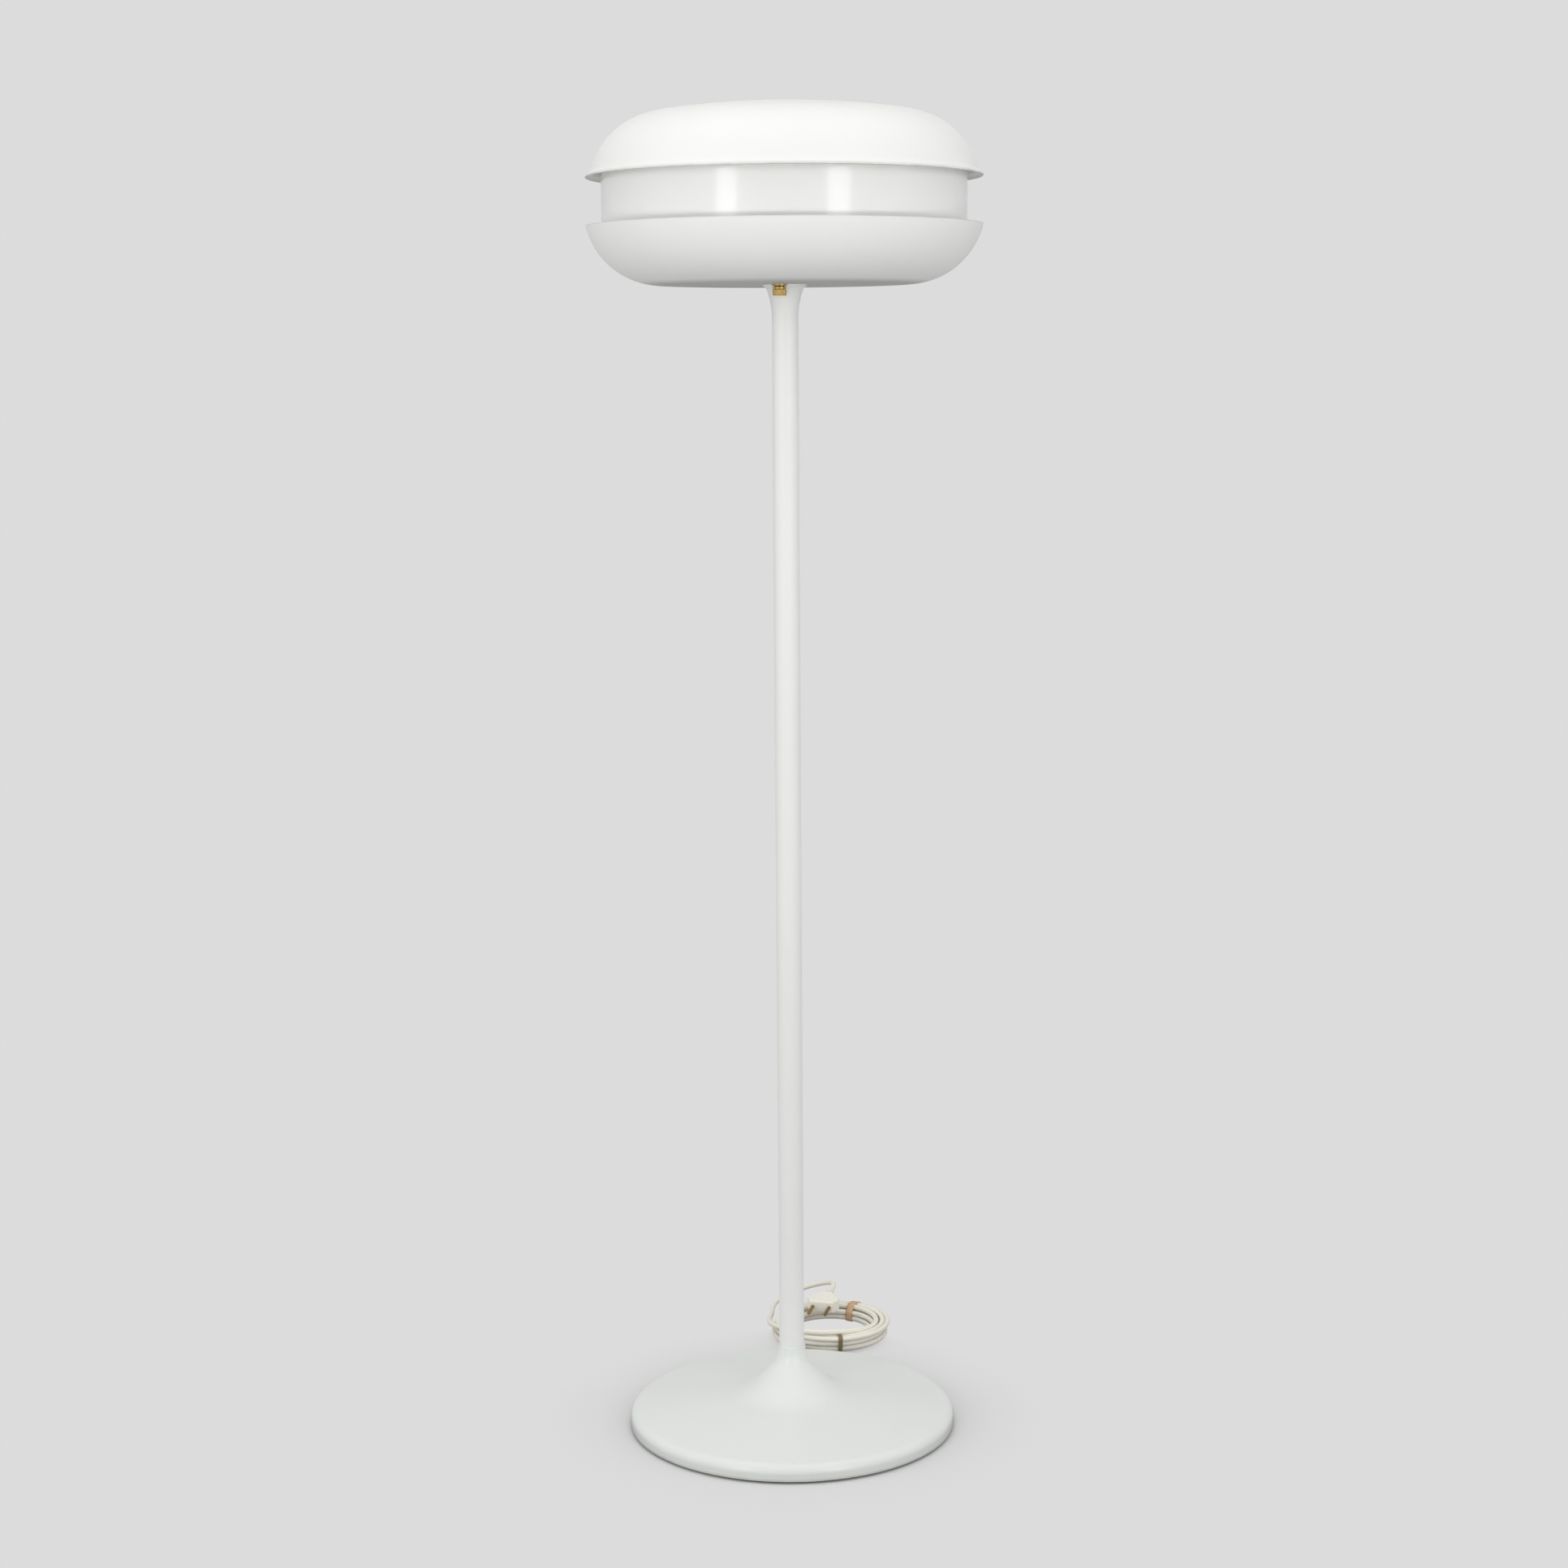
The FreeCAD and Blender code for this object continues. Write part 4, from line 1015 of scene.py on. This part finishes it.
def buildScrewTree():
    tree, given, end, sockets = startTree(
        "screwRing",
        Float=(
            "Circle", "First Angle", "Foot", "Head Radius", "Head Height", "Recess Length", "Recess Width",
            "Recess Depth", "Shank Radius", "Shank Length",
        ),
        Int=("Count",), Material=("Metal",),
    )
    head = shapeNode(
        tree, "GeometryNodeMeshCylinder", Vertices=40, Side_Segments=10, Fill_Segments=6,
        Radius=given["Head Radius"], Depth=given["Head Height"],
    )
    head.fill_type = "TRIANGLE_FAN"
    x, y, z = splitPosition(tree)
    share = plus(tree, over(tree, z, given["Head Height"]), 0.5)
    outline = profileCurve(tree, share, [(0.0, 0.72), (0.12, 0.84), (0.35, 0.95), (0.6, 1.0), (1.0, 1.0)])
    reach = over(tree, awayFromAxis(tree, x, y), given["Head Radius"])
    crown = times(tree, times(tree, reach, reach), given["Head Height"])
    lift = times(tree, times(tree, crown, screwLook["crown"]), minus(tree, 1.0, share))
    rounded = reshaped(tree, head.outputs["Mesh"], x, y, plus(tree, z, lift), outline)
    bottom = times(tree, given["Head Height"], -0.5)
    depth = times(tree, given["Recess Depth"], 2.0)
    length, width = given["Recess Length"], given["Recess Width"]
    carved = tree.nodes.new("GeometryNodeMeshBoolean")
    carved.operation = "DIFFERENCE"
    carved.solver = "EXACT"
    link(tree, rounded, carved.inputs["Mesh 1"])
    for along, beside in ((length, width), (width, length)):
        bar = shapeNode(tree, "GeometryNodeMeshCube", Size=vectorOf(tree, along, beside, depth))
        link(tree, raised(tree, bar.outputs["Mesh"], bottom), carved.inputs["Mesh 2"])
    shankFoot = times(tree, given["Head Height"], screwLook["shankInset"])
    shank = rodFrom(tree, 24, given["Shank Radius"], given["Shank Length"], shankFoot)
    screw = joinShapes(tree, carved.outputs["Mesh"], shank)
    circle = shapeNode(tree, "GeometryNodeMeshCircle", Vertices=given["Count"], Radius=given["Circle"])
    spots = shapeNode(tree, "GeometryNodeInstanceOnPoints", Points=circle.outputs[0], Instance=screw)
    height = plus(tree, given["Foot"], times(tree, given["Head Height"], 0.5))
    laid = placed(
        tree, spots.outputs[0], vectorOf(tree, 0.0, 0.0, given["First Angle"]),
        vectorOf(tree, 0.0, 0.0, height),
    )
    finishTree(tree, end, laid, given["Metal"])
    return tree, sockets


screwTree, screwSockets = buildScrewTree()
screwHeadTop = screwLook["foot"] + screwLook["headHeight"]
coverScrews = growPiece("coverScrewSet", screwTree, screwSockets, {
    **socketValues(screwLook, screwSockets), "First Angle": math.radians(screwLook["firstAngle"]),
    "Shank Length": footAndTop("cover_screws")[1] - screwHeadTop, "Metal": finishes["zincSteel"],
})


# the switch knob: a fluted grip, a turned groove and a plain collar
knobLook = {
    "centre": (-0.005, -0.030),
    "height": 0.0085,
    "radius": 0.0066,
    "flutes": 18,
    "fluteDepth": 0.0005,
    "shaftRadius": 0.0020,
    "fluteSharpness": 1.6,
    "shaftInset": 0.4,  # share of the height, from the middle up to the shaft's start
}


def buildKnobTree():
    tree, given, end, sockets = startTree(
        "flutedKnob", Float=("Radius", "Height", "Flute Depth", "Shaft Radius", "Shaft Length"),
        Int=("Flutes",), Vector=("Place",), Material=("Metal",),
    )
    grip = shapeNode(
        tree, "GeometryNodeMeshCylinder", Vertices=times(tree, given["Flutes"], 10.0),
        Side_Segments=50, Fill_Segments=8, Radius=given["Radius"], Depth=given["Height"],
    )
    grip.fill_type = "TRIANGLE_FAN"
    x, y, z = splitPosition(tree)
    share = plus(tree, over(tree, z, given["Height"]), 0.5)
    outline = profileCurve(tree, share, [
        (0.0, 0.86), (0.02, 0.93), (0.06, 0.985), (0.1, 1.0), (0.64, 1.0), (0.67, 0.985), (0.69, 0.88),
        (0.74, 0.88), (0.76, 0.93), (0.78, 0.95), (0.97, 0.95), (1.0, 0.92),
    ])
    fluted = profileCurve(tree, share, [
        (0.0, 0.0), (0.07, 0.0), (0.14, 1.0), (0.58, 1.0), (0.65, 0.0), (1.0, 0.0),
    ])
    angle = times(tree, mathNode(tree, "ARCTAN2", y, x), given["Flutes"])
    wave = minus(tree, 0.5, times(tree, mathNode(tree, "COSINE", angle), 0.5))
    depth = over(tree, given["Flute Depth"], given["Radius"])
    shaping = mathNode(tree, "POWER", wave, knobLook["fluteSharpness"])
    cut = times(tree, times(tree, shaping, fluted), depth)
    factor = minus(tree, outline, cut)
    turnedGrip = reshaped(tree, grip.outputs["Mesh"], x, y, z, factor)
    shaftFoot = times(tree, given["Height"], knobLook["shaftInset"])
    shaft = rodFrom(tree, 32, given["Shaft Radius"], given["Shaft Length"], shaftFoot)
    whole = joinShapes(tree, turnedGrip, shaft)
    laid = shapeNode(tree, "GeometryNodeTransform", Geometry=whole, Translation=given["Place"])
    finishTree(tree, end, laid.outputs[0], given["Metal"])
    return tree, sockets


knobTree, knobSockets = buildKnobTree()
knobFoot, shaftTop = footAndTop("switch_knob")
knobMiddle = knobFoot + knobLook["height"] / 2
switchKnob = growPiece("flutedKnob", knobTree, knobSockets, {
    **socketValues(knobLook, knobSockets),
    "Shaft Length": shaftTop - knobMiddle - knobLook["shaftInset"] * knobLook["height"],
    "Place": (knobLook["centre"][0], knobLook["centre"][1], knobMiddle), "Metal": finishes["plainBrass"],
})
print("caps, filaments, screws and knob made")


# pale floor
floorLook = {
    "size": 8.0,
    "tone": 0.716,
    "seenTone": 0.745,  # what the camera sees by the lamps' own light, near the base
    "bounce": 0.29,  # what the object gets back from the floor
    "shadowShare": 1.0,
    "near": 0.17,
    "far": 0.27,
}


def grey(level):
    return (level, level, level, 1)


def mixShaders(tree, share, first, second, outputKind):
    mix = tree.nodes.new("ShaderNodeMixShader")
    for source, socket in zip((share, first.outputs[0], second.outputs[0]), mix.inputs):
        link(tree, source, socket)
    link(tree, mix.outputs[0], tree.nodes.new(outputKind).inputs["Surface"])


def makeFloor(look):
    mesh = bpy.data.meshes.new("studioFloor")
    half = look["size"] / 2
    corners = [(-half, -half, 0), (half, -half, 0), (half, half, 0), (-half, half, 0)]
    mesh.from_pydata(corners, [], [(0, 1, 2, 3)])
    material = bpy.data.materials.new("studioFloor")
    material.use_nodes = True
    tree = material.node_tree
    tree.nodes.clear()
    diffuse = tree.nodes.new("ShaderNodeBsdfDiffuse")
    seen = tree.nodes.new("ShaderNodeLightPath")
    tone = mixColors(tree, seen.outputs["Is Camera Ray"], grey(look["bounce"]), grey(look["seenTone"]))
    link(tree, tone, diffuse.inputs["Color"])
    flat = tree.nodes.new("ShaderNodeEmission")
    flat.inputs["Color"].default_value = grey(look["tone"])
    place = tree.nodes.new("ShaderNodeTexCoord").outputs["Object"]
    length = tree.nodes.new("ShaderNodeVectorMath")
    length.operation = "LENGTH"
    link(tree, place, length.inputs[0])
    fade = spreadNode(tree, length.outputs["Value"], look["near"], look["far"], look["shadowShare"], 0.0)
    looked = mathNode(
        tree, "MAXIMUM", seen.outputs["Is Camera Ray"],
        mathNode(tree, "MAXIMUM", seen.outputs["Is Glossy Ray"], seen.outputs["Is Transmission Ray"]),
    )
    share = times(tree, minus(tree, 1.0, fade), looked)
    mixShaders(tree, share, diffuse, flat, "ShaderNodeOutputMaterial")
    mesh.materials.append(material)
    floor = bpy.data.objects.new("studioFloor", mesh)
    scene.collection.objects.link(floor)


makeFloor(floorLook)


# soft light
lightLook = {
    "world": 0.74,
    "background": 0.716,
    "lamps": {
        "leftWindow": {"place": (-1.66, -2.4, 1.25), "aim": (0, 0, 1.2), "size": (0.62, 2.0), "power": 11},
        "rightWindow": {"place": (1.54, -2.4, 1.25), "aim": (0, 0, 1.2), "size": (0.70, 2.0), "power": 12},
        "leftFill": {"place": (-2.6, -0.6, 1.1), "aim": (0, 0, 1.2), "size": (1.2, 1.6), "power": 14},
        "rightFill": {"place": (2.6, -0.6, 1.1), "aim": (0, 0, 1.2), "size": (1.2, 1.6), "power": 10},
        "topPanel": {"place": (-0.1, 0.1, 3.2), "aim": (0, 0, 1.2), "size": (2.2, 2.2), "power": 23},
        "lowFront": {
            "place": (0, -2.6, 0.5), "aim": (0, 0, 1.15), "size": (1.4, 0.4), "power": 3.3, "spread": 70,
        },
    },
}


def makeLights(look):
    world = bpy.data.worlds.new("studioWorld")
    scene.world = world
    world.use_nodes = True
    tree = world.node_tree
    tree.nodes.clear()
    ambient = tree.nodes.new("ShaderNodeBackground")
    ambient.inputs["Strength"].default_value = look["world"]
    backdrop = tree.nodes.new("ShaderNodeBackground")
    backdrop.inputs["Color"].default_value = grey(look["background"])
    seen = tree.nodes.new("ShaderNodeLightPath")
    looked = mathNode(tree, "MAXIMUM", seen.outputs["Is Camera Ray"], seen.outputs["Is Transmission Ray"])
    mixShaders(tree, looked, ambient, backdrop, "ShaderNodeOutputWorld")
    for name, lamp in look["lamps"].items():
        data = bpy.data.lights.new(name, "AREA")
        data.shape = "RECTANGLE"
        data.size, data.size_y = lamp["size"]
        data.energy = lamp["power"]
        data.spread = math.radians(lamp.get("spread", 180))
        light = bpy.data.objects.new(name, data)
        light.location = lamp["place"]
        light.visible_glossy = "Window" in name
        light.visible_camera = light.visible_transmission = False
        way = Vector(lamp["aim"]) - Vector(lamp["place"])
        light.rotation_euler = way.to_track_quat("-Z", "Y").to_euler()
        scene.collection.objects.link(light)


makeLights(lightLook)
print("floor and lights placed")


# what rides on what
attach(powerCord, "stand")
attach(frontTie, "stand")
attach(backTie, "stand")
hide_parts("cord_lead", "cord_coil", "cord_tail")
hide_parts("cord_ties")
for number in (1, 2, 3):
    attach(bulbCaps[number - 1], f"bulb_{number}")
    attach(filaments[number - 1], f"bulb_{number}")
    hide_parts(f"bulb_cap_{number}")
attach(coverScrews, "stand")
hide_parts("cover_screws")
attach(switchKnob, "knob")
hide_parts("switch_knob")
